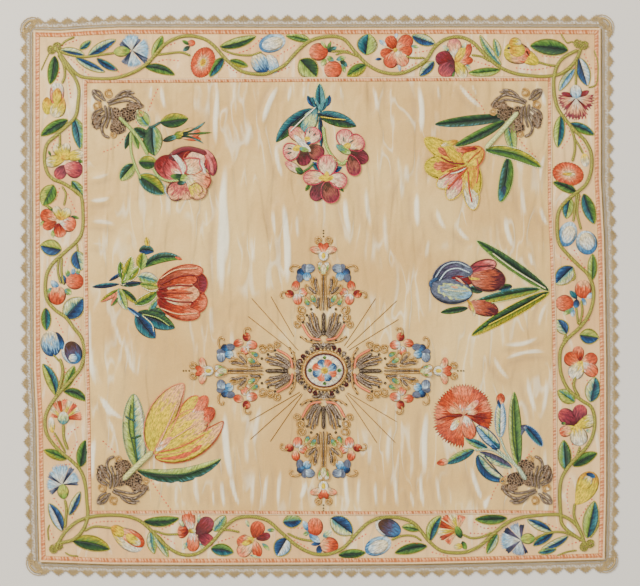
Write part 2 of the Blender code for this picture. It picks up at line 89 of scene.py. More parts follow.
# %% [markdown]
# A surface is a grid of points: rows along one parameter, columns along the
# other. Many small surfaces go into one mesh, so that a sprig of fifty petals
# is one piece. `Bundle` collects grids with their attributes and makes the
# mesh at the end. Each kind of attribute becomes a named layer that the
# materials read.

# %% Bundle of grids
class Bundle:
    """Grids of points that share one mesh, with named values on every point."""

    def __init__(self):
        self.points, self.faces, self.values, self.count = [], [], [], 0

    def add(self, grid, close_across=False, close_along=False, **values):
        """Add a grid (rows, columns, 3). A closed grid joins its last row or column to its first."""
        rows, columns = grid.shape[:2]
        index = np.arange(rows * columns).reshape(rows, columns) + self.count
        if close_across:
            index = np.concatenate([index, index[:, :1]], axis=1)
        if close_along:
            index = np.concatenate([index, index[:1]], axis=0)
        quads = np.stack([index[:-1, :-1], index[:-1, 1:], index[1:, 1:], index[1:, :-1]], axis=-1)
        self.points.append(grid.reshape(-1, 3))
        self.faces.append(quads.reshape(-1, 4))
        shape = (rows * columns,)
        flat = {name: np.broadcast_to(np.asarray(value, float), grid.shape[:2] + np.shape(value)[2:]
                                      if np.ndim(value) >= 2 else grid.shape[:2] + np.shape(value))
                for name, value in values.items()}
        self.values.append({name: value.reshape(shape + value.shape[2:]) for name, value in flat.items()})
        self.count += rows * columns

    def mesh(self, name):
        """Make the mesh object, smooth shaded, with its values as attributes and UVs."""
        points = np.concatenate(self.points)
        faces = np.concatenate(self.faces)
        data = bpy.data.meshes.new(name)
        data.vertices.add(len(points))
        data.vertices.foreach_set("co", points.ravel())
        data.loops.add(faces.size)
        data.loops.foreach_set("vertex_index", faces.ravel())
        data.polygons.add(len(faces))
        data.polygons.foreach_set("loop_start", np.arange(0, faces.size, 4))
        data.update(calc_edges=True)
        data.polygons.foreach_set("use_smooth", np.ones(len(faces), dtype=bool))
        for key in self.values[0]:
            value = np.concatenate([held[key] for held in self.values])
            if key == "thread":
                layer = data.uv_layers.new(name="thread")
                layer.data.foreach_set("uv", value[faces.ravel()].ravel())
            elif value.ndim == 1:
                data.attributes.new(key, "FLOAT", "POINT").data.foreach_set("value", value)
            else:
                colour = np.concatenate([value, np.ones((len(value), 1))], axis=1)
                data.attributes.new(key, "FLOAT_COLOR", "POINT").data.foreach_set("color", colour.ravel())
        data.validate()
        piece = bpy.data.objects.new(name, data)
        bpy.context.scene.collection.objects.link(piece)
        print(name, "has", 2 * len(faces), "triangles")
        return piece


def finish_piece(piece, material, slot, *nodes):
    """Give a piece its material and tie it to the frame's nodes."""
    piece.data.materials.clear()
    piece.data.materials.append(material)
    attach(piece, "root")
    if nodes:
        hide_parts(*nodes)
    return piece


# %% [markdown]
# Materials are sums and products of patterns. Writing each Math node by hand
# is long, so a small class wraps a socket: adding or multiplying two wrapped
# sockets adds the Math node. Any other node comes from `make`, which takes
# the node's settings first and the values or links of its sockets after.

# %% Shader arithmetic
class Wire:
    """A node socket that can be used in Python arithmetic."""

    def __init__(self, paint, socket):
        self.paint, self.socket = paint, socket

    def math(self, operation, *others):
        """A Math node on this socket and the others."""
        inputs = {index: value for index, value in enumerate((self, *others))}
        return self.paint.make("ShaderNodeMath", dict(operation=operation), inputs)

    def __add__(self, other):
        return self.math("ADD", other)

    __radd__ = __add__

    def __mul__(self, other):
        return self.math("MULTIPLY", other)

    __rmul__ = __mul__

    def __sub__(self, other):
        return self.math("SUBTRACT", other)

    def __rsub__(self, other):
        return self.paint.make("ShaderNodeMath", dict(operation="SUBTRACT"), {0: other, 1: self})

    def __truediv__(self, other):
        return self.math("DIVIDE", other)

    def ramp(self, low, high, start=0.0, end=1.0):
        """Map this value smoothly from low..high onto start..end."""
        settings = dict(interpolation_type="SMOOTHSTEP")
        inputs = {0: self, "From Min": low, "From Max": high, "To Min": start, "To Max": end}
        return self.paint.make("ShaderNodeMapRange", settings, inputs)


class Paint:
    """A material being built around its Principled shader."""

    def __init__(self, name, **constants):
        self.material = bpy.data.materials.new(name)
        self.material.use_nodes = True
        self.nodes = self.material.node_tree.nodes
        self.links = self.material.node_tree.links
        self.shader = self.nodes["Principled BSDF"]
        for key, value in constants.items():
            self.shader.inputs[key.replace("_", " ")].default_value = value

    def make(self, kind, settings=None, inputs=None, output=0):
        """Add any node: its settings first, then values or links for its sockets."""
        node = self.nodes.new(kind)
        for key, value in (settings or {}).items():
            setattr(node, key, value)
        for key, value in (inputs or {}).items():
            if isinstance(value, Wire):
                self.links.new(value.socket, node.inputs[key])
            else:
                node.inputs[key].default_value = value
        return Wire(self, node.outputs[output])

    def value(self, name, output="Fac"):
        """A named layer of the mesh."""
        return self.make("ShaderNodeAttribute", dict(attribute_name=name), output=output)

    def place(self):
        """Object coordinates, in metres."""
        return self.make("ShaderNodeTexCoord", output="Object")

    def thread_map(self, across=1.0, along=1.0):
        """The piece's own thread coordinates, in mm, stretched by two factors."""
        uv = self.make("ShaderNodeUVMap", dict(uv_map="thread"))
        return self.make("ShaderNodeMapping", None, {0: uv, "Scale": (across, along, 1.0)})

    def noise(self, where, scale, detail=2.0, roughness=0.5):
        """Noise between 0 and 1."""
        inputs = {"Vector": where, "Scale": scale, "Detail": detail, "Roughness": roughness}
        return self.make("ShaderNodeTexNoise", None, inputs)

    def mix(self, share, first, second):
        """Blend two colours."""
        settings = dict(data_type="RGBA")
        inputs = {0: share, 6: first, 7: second}
        return self.make("ShaderNodeMix", settings, inputs, output=2)

    def shade(self, colour, amount):
        """Multiply a colour by a grey value."""
        grey = self.make("ShaderNodeCombineColor", None, {0: amount, 1: amount, 2: amount})
        settings = dict(data_type="RGBA", blend_type="MULTIPLY")
        return self.make("ShaderNodeMix", settings, {0: 1.0, 6: colour, 7: grey}, output=2)

    def bump(self, height, distance, strength=1.0, below=None):
        """A Bump node; distance is the height in metres that a value of 1 stands for."""
        inputs = {"Height": height, "Distance": distance, "Strength": strength}
        if below is not None:
            inputs["Normal"] = below
        return self.make("ShaderNodeBump", None, inputs)

    def finish(self, **sockets):
        """Link finished values to the shader's sockets and return the material."""
        for key, value in sockets.items():
            self.links.new(value.socket, self.shader.inputs[key.replace("_", " ")])
        return self.material


DYE_STRENGTH, DYE_DEPTH = 1.22, 1.15


def rgb(red, green, blue):
    """A linear colour from the three numbers, 0 to 255, that a dyer's card gives.

    Bright studio light washes dyes out, so each is moved away from grey and deepened a little.
    """
    card = np.array([red, green, blue]) / 255
    linear = np.where(card <= 0.04045, card / 12.92, ((card + 0.055) / 1.055) ** 2.4)
    grey = linear.mean()
    return np.clip(grey + (linear - grey) * DYE_STRENGTH, 0.001, 1) ** DYE_DEPTH


def paint_colour(red, green, blue):
    """The same, as the four numbers that a socket takes."""
    return (*rgb(red, green, blue), 1.0)


# %% [markdown]
# Most shapes below are written lists, read off the pattern sheet. A line of
# one word names the group of rows that follows it. `groups` reads such a list,
# `tables` gives its columns names, and `pairs` turns a row into sheet places.

# %% Written lists
def read(word):
    """A number where the word is one, else the word itself."""
    try:
        return float(word)
    except ValueError:
        return word


def groups(text):
    """Rows of a written list under the name of their group."""
    found = {}
    for line in text.strip().splitlines():
        words = [read(word) for word in line.split()]
        if len(words) == 1:
            rows = found.setdefault(words[0], [])
        else:
            rows.append(words)
    return found


def tables(columns, text, **usual):
    """The same with named columns. What a row leaves out at its end is as usual."""
    names = columns.split()
    return {name: [{**usual, **dict(zip(names, row))} for row in rows] for name, rows in groups(text).items()}


def pairs(numbers):
    """Sheet places from a row of numbers, u and v by turns."""
    return list(zip(numbers[::2], numbers[1::2]))


# %% [markdown]
# ## The satin
#
# The cloth lies flat, but satin that carries heavy embroidery puckers: short
# folds run out from the braids and between the stitched parts. Blender's
# cloth simulation would drape a sheet, yet these folds come from the sewing,
# so they are placed one by one. Each is a soft ridge along a line, high in its
# middle and fading at both ends.

# %% Folds of the satin
# u and v of both ends, how far the middle bows sideways, width, height
FOLDS = np.array(sum(groups("""
under_top_braid
97 84 93 118 2 3.4 0.9
153 83 150 103 1 2.6 0.9
161 83 166 112 1 3 1
219 83 216 150 2 3.4 1.1
232 83 236 118 -1 3 0.8
247 83 243 112 1 2.8 0.7
279 84 262 126 2 3.4 1.2
291 83 288 104 0 2.4 1
305 83 303 100 0 2.4 0.9
340 83 343 104 0 2.6 0.8
372 83 378 116 -1 3 0.9
392 83 390 110 1 2.6 0.7
418 82 421 137 -2 3.4 1.2
437 82 440 104 0 2.6 0.8
457 82 484 110 2 3 1.1
470 82 478 98 0 2.4 0.8
536 83 545 110 -2 3 1
between_sprigs
275 140 284 182 2 3.2 1
252 122 246 150 1 3.2 0.9
226 160 222 300 3 4.6 1.4
222 195 227 262 -2 3.2 1
273 205 277 242 1 3 1.1
283 200 287 288 -2 4 1.4
297 210 299 243 1 3.2 0.8
345 195 351 238 2 3.4 1.2
366 182 372 232 2 3.6 0.9
417 190 418 230 1 3.4 1.2
396 150 402 206 -2 3.8 0.9
385 205 389 262 2 3.8 0.8
407 160 409 186 1 3 0.8
436 206 447 232 2 3.2 1
251 232 255 268 1 3.6 0.8
206 205 209 232 1 3.2 0.8
left_side
88 178 112 172 2 3 0.8
88 200 112 197 2 3.2 1
89 222 118 226 -2 3.4 0.9
90 243 108 246 0 3 0.7
90 305 97 390 5 3.8 1.3
115 320 126 352 2 3 0.9
128 345 136 377 2 3.4 0.9
97 393 126 421 3 3.2 1.1
95 436 92 482 2 3.8 1.3
105 398 118 442 2 3.2 0.9
102 345 108 382 -2 3 0.7
right_side
456 224 471 242 2 3.2 1
505 213 516 252 3 3.4 1.1
529 250 534 268 1 2.8 1
540 204 549 228 2 3 1
522 182 527 220 2 3.4 0.9
546 150 540 186 2 2.8 0.9
500 344 541 336 4 3.2 1
503 360 548 352 -4 3.2 1.1
492 352 512 382 3 3.4 0.9
527 372 540 420 3 3.4 1
546 372 541 420 -2 3 0.9
548 300 538 330 2 3 0.9
545 440 549 500 2 3 0.9
470 462 486 508 2 3.2 1.1
492 492 484 511 1 2.6 0.9
round_cross
232 322 239 372 3 3.8 0.8
212 300 214 340 2 3.4 0.8
262 400 254 452 2 3.8 0.9
225 408 233 486 3 4 1.3
231 480 241 509 1 2.8 1.1
213 403 204 428 1 3.2 1.1
242 430 247 470 -2 3.2 0.8
392 420 388 470 2 3.8 0.9
409 300 404 342 2 3.4 0.7
427 408 425 478 2 3.6 1.3
412 440 410 486 -1 3.2 0.8
433 366 426 396 2 3.6 0.9
372 440 369 470 1 3.2 0.8
430 236 426 262 1 3.2 0.8
over_bottom_braid
100 500 104 511 0 2.2 0.8
178 478 176 510 1 3 0.8
196 470 200 510 2 3.4 0.9
212 486 215 510 0 2.6 0.9
222 474 225 511 1 2.8 1.1
243 476 246 511 0 2.4 0.8
255 466 252 511 1 3 0.9
268 470 264 511 1 2.8 1
281 466 278 511 1 2.8 1
300 500 306 480 1 3 1.2
317 500 312 480 0 2.4 0.9
345 470 349 511 1 3 1.1
335 486 336 511 0 2.4 0.8
360 472 358 511 1 2.8 0.9
375 478 378 511 1 2.8 1
385 480 384 511 0 2.4 0.8
395 470 398 511 1 2.8 1
410 488 414 511 0 2.6 0.9
420 470 424 511 1 2.6 1.1
436 470 442 511 1 2.8 0.9
448 480 452 511 0 2.4 0.7
by_blooms
84 86 78 116 2 2.4 0.9
66 116 77 99 1 2.4 0.8
172 66 175 77 1 1.8 0.7
524 33 540 62 3 2.4 0.8
596 196 590 186 0 2.4 0.6
566 520 577 534 2 3 1.1
110 542 112 557 1 2.2 0.9
146 530 149 548 1 2.2 0.7
566 356 564 368 1 1.8 0.7
590 60 589 46 0 2.2 0.6
78 222 77 240 0 1.8 0.6
74 523 64 538 1 2.4 0.8
570 486 562 500 1 2.2 0.7
475 514 471 524 1 1.8 0.7
500 62 508 70 1 1.8 0.6
""").values(), []))
WAVE_SIZES = ((37, 0.16), (61, 0.22), (19, 0.07))


def fold_height(u, v):
    """Height of the folds, in mm: each is a bell across its line, faded by a half wave along it."""
    u, v = np.broadcast_arrays(np.asarray(u, float), np.asarray(v, float))
    height = np.zeros(u.shape)
    for u1, v1, u2, v2, bow, width, top in FOLDS:
        du, dv = u2 - u1, v2 - v1
        length = math.hypot(du, dv)
        along = ((u - u1) * du + (v - v1) * dv) / length
        side = ((u - u1) * -dv + (v - v1) * du) / length
        share = along / length
        near = (share > -0.25) & (share < 1.25) & (np.abs(side) < 4 * width + abs(bow))
        share, side = share[near], side[near]
        middle = bow * np.sin(np.pi * np.clip(share, 0, 1))
        fade = np.clip(1.08 - np.abs(share - 0.5) ** 2 * 3.4, 0, 1)
        off = (side - middle) / width
        ridge = np.exp(-off ** 2) - 0.35 * np.exp(-((off - 1.9) / 0.9) ** 2)
        height[near] += top * fade * ridge
    return height


def wave_height(u, v):
    """Slow unevenness of the cloth, in mm: a few crossed sine waves."""
    height = 0
    for size, top in WAVE_SIZES:
        turn = 2 * np.pi / size
        along_u = np.sin(u * turn + 1.3 * np.sin(v * turn * 0.61))
        height = height + top * along_u * np.sin(v * turn * 0.8 + size)
    return height


def cloth_lift(u, v):
    """Height of the cloth's upper face over the table, in mm, at places on the sheet."""
    rim = np.minimum(np.minimum(u - 34, 604 - u), np.minimum(v - 28, 562 - v))
    calm = np.clip(rim / 14, 0, 1)
    return CLOTH_TOP + calm * (np.clip(fold_height(u, v), -0.3, 2.6) + wave_height(u, v))


print("folds placed:", len(FOLDS))

# %% [markdown]
# The cloth itself is a grid stretched between its four edges, which lean and
# bow a little, as the old cloth does. Blending two opposite edges, adding the
# other two, and taking the four corners away once gives every inner point.
# Solidify then gives the sheet its thickness.

# %% Satin cloth
EDGES = {
    "top": ((34, 31), (60, 31.5), (90, 29.5), (120, 28.2), (300, 28.6), (450, 28.2), (600, 28.6)),
    "right": ((600, 28.6), (600.3, 180), (603.4, 240), (604.6, 300), (605.6, 360), (605.6, 490), (604, 559)),
    "bottom": ((604, 559), (530, 561), (410, 563.6), (200, 564.2), (110, 563.8), (40, 561.5)),
    "left": ((40, 561.5), (38, 480), (37, 420), (34.6, 370), (34, 200), (34, 31)),
}
SIDES = ("top", "right", "bottom", "left")
CLOTH_STEPS = (228, 213)
SHEET_THICKNESS = 0.85


def along_rows(rows, share):
    """Points along a list of u, v rows, by share of its length."""
    rows = np.asarray(rows, float)
    steps = np.hypot(*np.diff(rows, axis=0).T)
    reach = np.concatenate([[0], np.cumsum(steps)]) / steps.sum()
    return np.column_stack([np.interp(share, reach, rows[:, 0]), np.interp(share, reach, rows[:, 1])])


across, down = np.meshgrid(np.linspace(0, 1, CLOTH_STEPS[0]), np.linspace(0, 1, CLOTH_STEPS[1]))
edge = {"top": along_rows(EDGES["top"], across.ravel()),
        "bottom": along_rows(EDGES["bottom"], 1 - across.ravel()),
        "left": along_rows(EDGES["left"], 1 - down.ravel()),
        "right": along_rows(EDGES["right"], down.ravel())}
corner = {side: np.array(EDGES[side][0]) for side in SIDES}
a, d = across.reshape(-1, 1), down.reshape(-1, 1)
corners = ((1 - a) * (1 - d) * corner["top"] + a * (1 - d) * corner["right"]
           + a * d * corner["bottom"] + (1 - a) * d * corner["left"])
sheet = (1 - d) * edge["top"] + d * edge["bottom"] + (1 - a) * edge["left"] + a * edge["right"] - corners
u, v = sheet[:, 0].reshape(across.shape), sheet[:, 1].reshape(across.shape)
folds = fold_height(u, v)
in_border = 1 - ((u > 85) & (u < 553) & (v > 80) & (v < 513))

satin_bundle = Bundle()
satin_bundle.add(spot(u, v, cloth_lift(u, v))[::-1], crest=np.clip(folds / 1.2, 0, 1)[::-1],
                 trough=np.clip(-folds / 0.3, 0, 1)[::-1], border=in_border[::-1].astype(float))
satin = satin_bundle.mesh("satin_cloth")
thick = satin.modifiers.new("thickness", "SOLIDIFY")
thick.thickness = SHEET_THICKNESS * MM
thick.offset = -1

# %% [markdown]
# Satin shows no weave from a step away, only a soft sheen that brightens on
# every fold and dulls in the hollows. That sheen is painted into the colour: a
# painted highlight on each fold's crest, painted shade in the hollow beside it,
# and painted highlight streaks along thin crinkle lines. Its colour drifts, with
# faint foxing. Close by, the warp threads lie side by side, so fine stripes
# make the bump.

# %% Satin finish
paint = Paint("satin", Roughness=0.4, Sheen_Weight=0.25, Sheen_Roughness=0.35, Specular_IOR_Level=0.55)
place = paint.place()
cloud = paint.noise(place, 9.0, 4.0)
blotch = paint.noise(place, 45.0, 3.0, 0.65)
field_colour = paint.mix(cloud.ramp(0.35, 0.65), paint_colour(215, 182, 128), paint_colour(231, 203, 149))
border_colour = paint.mix(cloud.ramp(0.35, 0.65), paint_colour(226, 188, 140), paint_colour(238, 208, 162))
ground = paint.mix(paint.value("border"), field_colour, border_colour)
ground = paint.mix(blotch.ramp(0.60, 0.85, 0.0, 0.3), ground, paint_colour(194, 156, 104))
# Painted shade darkens the hollows beside the folds, and a painted highlight lightens the crests of the
# folds.
ground = paint.mix(paint.value("trough") * 0.5, ground, paint_colour(186, 158, 118))
ground = paint.mix(paint.value("crest").ramp(0.3, 0.9, 0.0, 0.9), ground, paint_colour(255, 247, 226))
stretch = paint.make("ShaderNodeMapping", None, {0: place, "Scale": (80.0, 17.0, 1.0)})
creases = paint.make("ShaderNodeTexNoise", None,
                     {"Vector": stretch, "Scale": 1.0, "Detail": 1.0, "Distortion": 0.5})
# Thin crinkle lines lighten the colour as painted highlight streaks.
line = (1 - (creases * 2 - 1).math("ABSOLUTE")).ramp(0.88, 1.0)
crinkle_highlight = line * paint.noise(place, 17.0, 2.0).ramp(0.47, 0.60)
ground = paint.mix(crinkle_highlight * 0.42, ground, paint_colour(255, 247, 226))
speckle = paint.noise(place, 900.0, 2.0, 0.7)
ground = paint.shade(ground, speckle.ramp(0.2, 0.8, 0.93, 1.06))
warp = paint.make("ShaderNodeTexWave", dict(wave_type="BANDS", bands_direction="X"),
                  {"Vector": place, "Scale": 900.0, "Distortion": 1.5, "Detail": 1.0})
crumple = paint.noise(place, 140.0, 3.0, 0.6)
relief = paint.bump(crumple + creases.ramp(0.35, 0.65, 0.0, 2.0), 0.0012, 0.5)
relief = paint.bump(warp + speckle, 0.00006, 0.6, below=relief)
satin_finish = paint.finish(Base_Color=ground, Roughness=cloud.ramp(0.3, 0.7, 0.36, 0.46), Normal=relief)
finish_piece(satin, satin_finish, "satin", "satin_ground")

# %% [markdown]
# ## Silk stitches
#
# Leaves and petals are worked in silk: threads lie side by side over a little
# padding, and where two shades meet the stitches are long and short, so the
# colours interlock in jags. Painting every shade on the mesh would need a very
# fine mesh. Instead each petal carries three shades and its thread direction,
# and the material mixes them with noise that is stretched along the thread.

# %% Dyes and shades
DYES = dict(
    ink=(30, 44, 70), navy=(44, 76, 116), blue=(84, 130, 168), sky=(150, 186, 208), ice=(208, 222, 226),
    teal=(46, 104, 112), sea=(98, 148, 148), pine=(28, 48, 38), bottle=(46, 78, 52), fern=(92, 128, 64),
    leaf=(132, 160, 82), lime=(176, 190, 108), pale=(208, 214, 156), moss=(142, 146, 50),
    straw=(214, 196, 84), yellow=(232, 204, 44), gold=(208, 160, 30), cream=(236, 222, 186),
    ivory=(238, 232, 214), peach=(238, 188, 148), salmon=(228, 148, 116), coral=(214, 116, 84),
    brick=(184, 86, 56), rust=(142, 64, 38), blood=(126, 38, 36), wine=(96, 34, 42), plum=(140, 66, 78),
    rose=(188, 96, 96), pink=(226, 150, 140), brown=(84, 58, 40), slate=(112, 118, 134),
    dusk=(92, 82, 104), steel=(152, 166, 182), olive=(160, 146, 52), magenta=(196, 78, 98),
    blush_dye=(206, 140, 118), mist_dye=(166, 184, 170), soot_and_shade=(44, 34, 30), tan=(164, 134, 102),
    wire_dye=(108, 84, 66), silver=(226, 212, 192), terra=(178, 100, 74), fawn=(158, 100, 88),
    old_gold=(132, 88, 36), gold_thread=(214, 168, 92), shell=(240, 206, 178), seed=(228, 104, 92),
    gilt=(222, 203, 160), cord=(168, 164, 74), dark_cord=(100, 88, 38), sheath=(190, 188, 104),
)
SHADES = dict(
    navy=("ink", "navy", "blue"), teal=("ink", "teal", "sea"), pine=("pine", "bottle", "fern"),
    fern=("bottle", "fern", "leaf"), lime=("leaf", "lime", "pale"), moss=("fern", "moss", "straw"),
    mist=("sea", "pale", "ivory"), sky=("blue", "sky", "ice"), cream=("pale", "cream", "ivory"),
    berry=("salmon", "coral", "brick"), blush=("cream", "peach", "salmon"),
    flame=("peach", "coral", "brick"), ember=("rust", "brick", "coral"), maroon=("wine", "plum", "rose"),
    garnet=("wine", "blood", "plum"), sun=("gold", "yellow", "straw"), honey=("gold", "straw", "cream"),
    butter=("yellow", "cream", "ivory"), petal=("cream", "ivory", "pink"),
    apricot=("straw", "peach", "coral"), shell=("ivory", "peach", "pink"), plum=("cream", "sky", "navy"),
    cloud=("ivory", "ice", "sky"), dusk=("slate", "dusk", "ink"), steel=("ice", "steel", "slate"),
    rosy=("pink", "rose", "plum"), scarlet=("blood", "brick", "salmon"), calyx=("leaf", "sheath", "lime"),
    jade=("sea", "leaf", "pale"), bark=("brown", "rust", "peach"), bottle=("pine", "bottle", "sea"),
    shell_blue=("ice", "sky", "blue"), plum_heart=("cream", "ivory", "ice"),
    primrose=("yellow", "straw", "cream"), coral_rim=("ivory", "salmon", "coral"),
    pear=("yellow", "straw", "gold"), dusk_plum=("brown", "dusk", "blue"),
    carnation=("ivory", "peach", "plum"), bronze=("gold", "brick", "rust"),
    lilac=("ivory", "ice", "steel"), ink_wedge=("ink", "ink", "slate"), seed=("seed", "seed", "seed"),
    vine=("dark_cord", "cord", "sheath"), leaf_cord=("olive", "cord", "sheath"),
    crimson=("pink", "rose", "blood"), dusty=("blush_dye", "rose", "peach"),
    petal_cream=("cream", "peach", "shell"), honey_pink=("cream", "straw", "peach"),
    pansy=("cream", "shell", "pink"), pansy_pink=("cream", "peach", "pink"),
    mauve=("brown", "fawn", "plum"), deep_maroon=("brown", "wine", "plum"),
    lily_pink=("brick", "pink", "cream"), streak=("blood", "coral", "peach"),
    russet=("wine", "terra", "blush_dye"), foxed=("rust", "terra", "salmon"),
    mist_blue=("sky", "mist_dye", "steel"), tulip=("straw", "yellow", "peach"),
    salmon_red=("peach", "coral", "salmon"), crimson_edge=("coral", "blood", "brick"),
    jade_pale=("sea", "pale", "sea"), stem_cream=("sheath", "pale", "cream"),
    wire=("soot_and_shade", "wire_dye", "silver"), coil=("brown", "tan", "silver"),
    sequin=("soot_and_shade", "silver", "wire_dye"), gold_cord=("old_gold", "gold_thread", "cream"),
)
SHADES.update({dye: (dye, dye, dye) for dye in DYES if dye not in SHADES})
shade_colours = {name: np.array([rgb(*DYES[dye]) for dye in dyes]) for name, dyes in SHADES.items()}
print("dyes:", len(DYES), "shades:", len(SHADES))

# %% [markdown]
# One function draws every leaf and petal. Its middle line runs from base to
# tip and may bend. Its half width follows (4 p (1 - p)) to a power, where p is
# the distance along it bent so that the widest place can sit nearer the tip.
# Power 1 gives a pointed leaf, power 0.5 an ellipse. The upper face is a low
# dome, and its last column closes back to its first underneath.

# %% Petals, leaf halves and fans
PATCH_ROWS, PATCH_COLUMNS = 13, 9
SUNK = 0.12


def colour_layers(shade, shape):
    """The three shades of a stitch, as layers named heart, body and tip."""
    names = ("heart", "body", "tip")
    return {name: np.broadcast_to(colour, (*shape, 3)) for name, colour in zip(names, shade_colours[shade])}


def spine(base, tip, bend, share):
    """Middle line of a patch and its unit side vector; bend is the middle's sideways shift."""
    base, tip = np.array(base, float), np.array(tip, float)
    along = tip - base
    length = np.hypot(*along)
    side = np.array([-along[1], along[0]]) / length
    line = base + share[..., None] * along + (bend * 4 * share * (1 - share))[..., None] * side
    slope = along + (bend * 4 * (1 - 2 * share))[..., None] * side
    slope /= np.hypot(slope[..., 0], slope[..., 1])[..., None]
    return line, np.stack([-slope[..., 1], slope[..., 0]], axis=-1), length


def half_width(share, width, widest, blunt):
    """Half width at a share of the length: (4 p (1 - p)) to the power blunt."""
    bent = share ** (math.log(0.5) / math.log(widest))
    return width / 2 * np.clip(4 * bent * (1 - bent), 0, 1) ** blunt


def petal(bundle, base, tip, width, shade, bend=0.0, widest=0.5, blunt=0.8, pad=0.8, lift=0.0,
          half=0, rows=PATCH_ROWS, columns=PATCH_COLUMNS):
    """A padded patch of stitches. half is -1 or 1 for the left or right half of a leaf, 0 for all."""
    share = (1 - np.cos(np.linspace(0, np.pi, rows))) / 2
    edge = np.linspace(-1, 1, columns) if half == 0 else np.linspace(0, 1, (columns + 3) // 2)
    share, edge = np.meshgrid(share, edge, indexing="ij")
    line, side, length = spine(base, tip, bend, share)
    reach = half_width(share, width, widest, blunt)
    sign = half or 1
    at = line + (sign * edge * reach)[..., None] * side
    dome = 1 - np.abs(edge) ** 2.6 if half == 0 else 1 - np.abs(2 * edge - 0.9) ** 2.2 * 0.8
    rise = pad * np.clip(dome, 0, 1) ** 0.7 * np.clip(reach / (width / 2), 0, 1) ** 0.5
    height = cloth_lift(at[..., 0], at[..., 1]) - SUNK + lift + rise
    if half == 0:
        thread = np.stack([edge * reach, share * length], axis=-1)
    else:
        thread = np.stack([share * length * 0.8 - edge * reach * 0.7, edge * reach], axis=-1)
    thread = thread + rng.uniform(0, 40, 2)
    bundle.add(spot(at[..., 0], at[..., 1], height), close_across=True, thread=thread,
               share=share if half == 0 else 0.25 * share + 0.75 * edge,
               rim=np.abs(edge), **colour_layers(shade, share.shape))


def leaf(bundle, row, pad=0.8, lift=0.0):
    """A leaf of two halves, each with its own shades, with a furrow along the midrib."""
    for half, shade in ((-1, row["left"]), (1, row["right"])):
        petal(bundle, (row["u"], row["v"]), (row["tip_u"], row["tip_v"]), row["width"], shade,
              bend=row["bend"], blunt=row.get("blunt", 0.8), widest=row.get("widest", 0.48),
              pad=pad, lift=lift, half=half)


def fan(bundle, centre, radius, start, end, shade, squash=1.0, tilt=0.0, teeth=0.0, depth=0.0,
        pad=0.9, lift=0.0, inner=0.0, steps=9):
    """A sector of stitches round a centre, from angle start to end in degrees, u towards v.

    The rim's radius dips by depth between teeth, as pinked petals do.
    """
    columns = max(7, int(abs(end - start) * max(min(1 / 9, radius / 34), teeth / 130)))
    share, turn = np.meshgrid(np.linspace(0, 1, steps), np.linspace(0, 1, columns), indexing="ij")
    angle = np.radians(start + (end - start) * turn)
    rim = radius * (1 - depth * (0.5 - 0.5 * np.cos(angle * teeth)))
    far = inner + (rim - inner) * share
    x, y = far * np.cos(angle), far * np.sin(angle) * squash
    cos, sin = math.cos(math.radians(tilt)), math.sin(math.radians(tilt))
    u, v = centre[0] + x * cos - y * sin, centre[1] + x * sin + y * cos
    whole = abs(end - start) >= 359
    across = 0 if whole else np.abs(2 * turn - 1) ** 3
    rise = pad * np.clip(1 - across, 0, 1) ** 0.6 * np.clip(1 - share ** 4, 0, 1) ** 0.5
    height = cloth_lift(u, v) - SUNK + lift + rise
    thread = np.stack([angle * radius * 0.6, far], axis=-1) + rng.uniform(0, 40, 2)
    whole_share = share ** 1.5 if whole else share
    layers = dict(thread=thread, share=whole_share, rim=share ** 3, **colour_layers(shade, share.shape))
    if whole:
        layers = {name: value[:, :-1] for name, value in layers.items()}
        bundle.add(spot(u, v, height)[:, :-1], close_across=True, **layers)
    else:
        bundle.add(spot(u, v, height), **layers)


# %% [markdown]
# Stems, vines, tendrils and outlines are cords laid on the cloth and sewn
# down. A cord is a small ellipse carried along a smooth curve through its
# points. The curve is a Catmull-Rom spline: between two points it blends so
# that it passes through each with an even direction.

# %% Cords
CORD_SIDES = 6


def smooth_path(points, step=2.0, closed=False):
    """Points every step mm or so along a Catmull-Rom curve through the given ones."""
    points = np.asarray(points, float)
    if closed:
        points = np.vstack([points[-1], points, points[0], points[1]])
    else:
        points = np.vstack([2 * points[0] - points[1], points, 2 * points[-1] - points[-2]])
    parts = []
    for p0, p1, p2, p3 in zip(points, points[1:], points[2:], points[3:]):
        count = max(2, int(np.hypot(*(p2 - p1)) / step) + 1)
        t = np.linspace(0, 1, count, endpoint=False)[:, None]
        parts.append(0.5 * (2 * p1 + (p2 - p0) * t + (2 * p0 - 5 * p1 + 4 * p2 - p3) * t ** 2
                            + (3 * p1 - p0 - 3 * p2 + p3) * t ** 3))
    if not closed:
        parts.append(points[-2:-1])
    return np.vstack(parts)


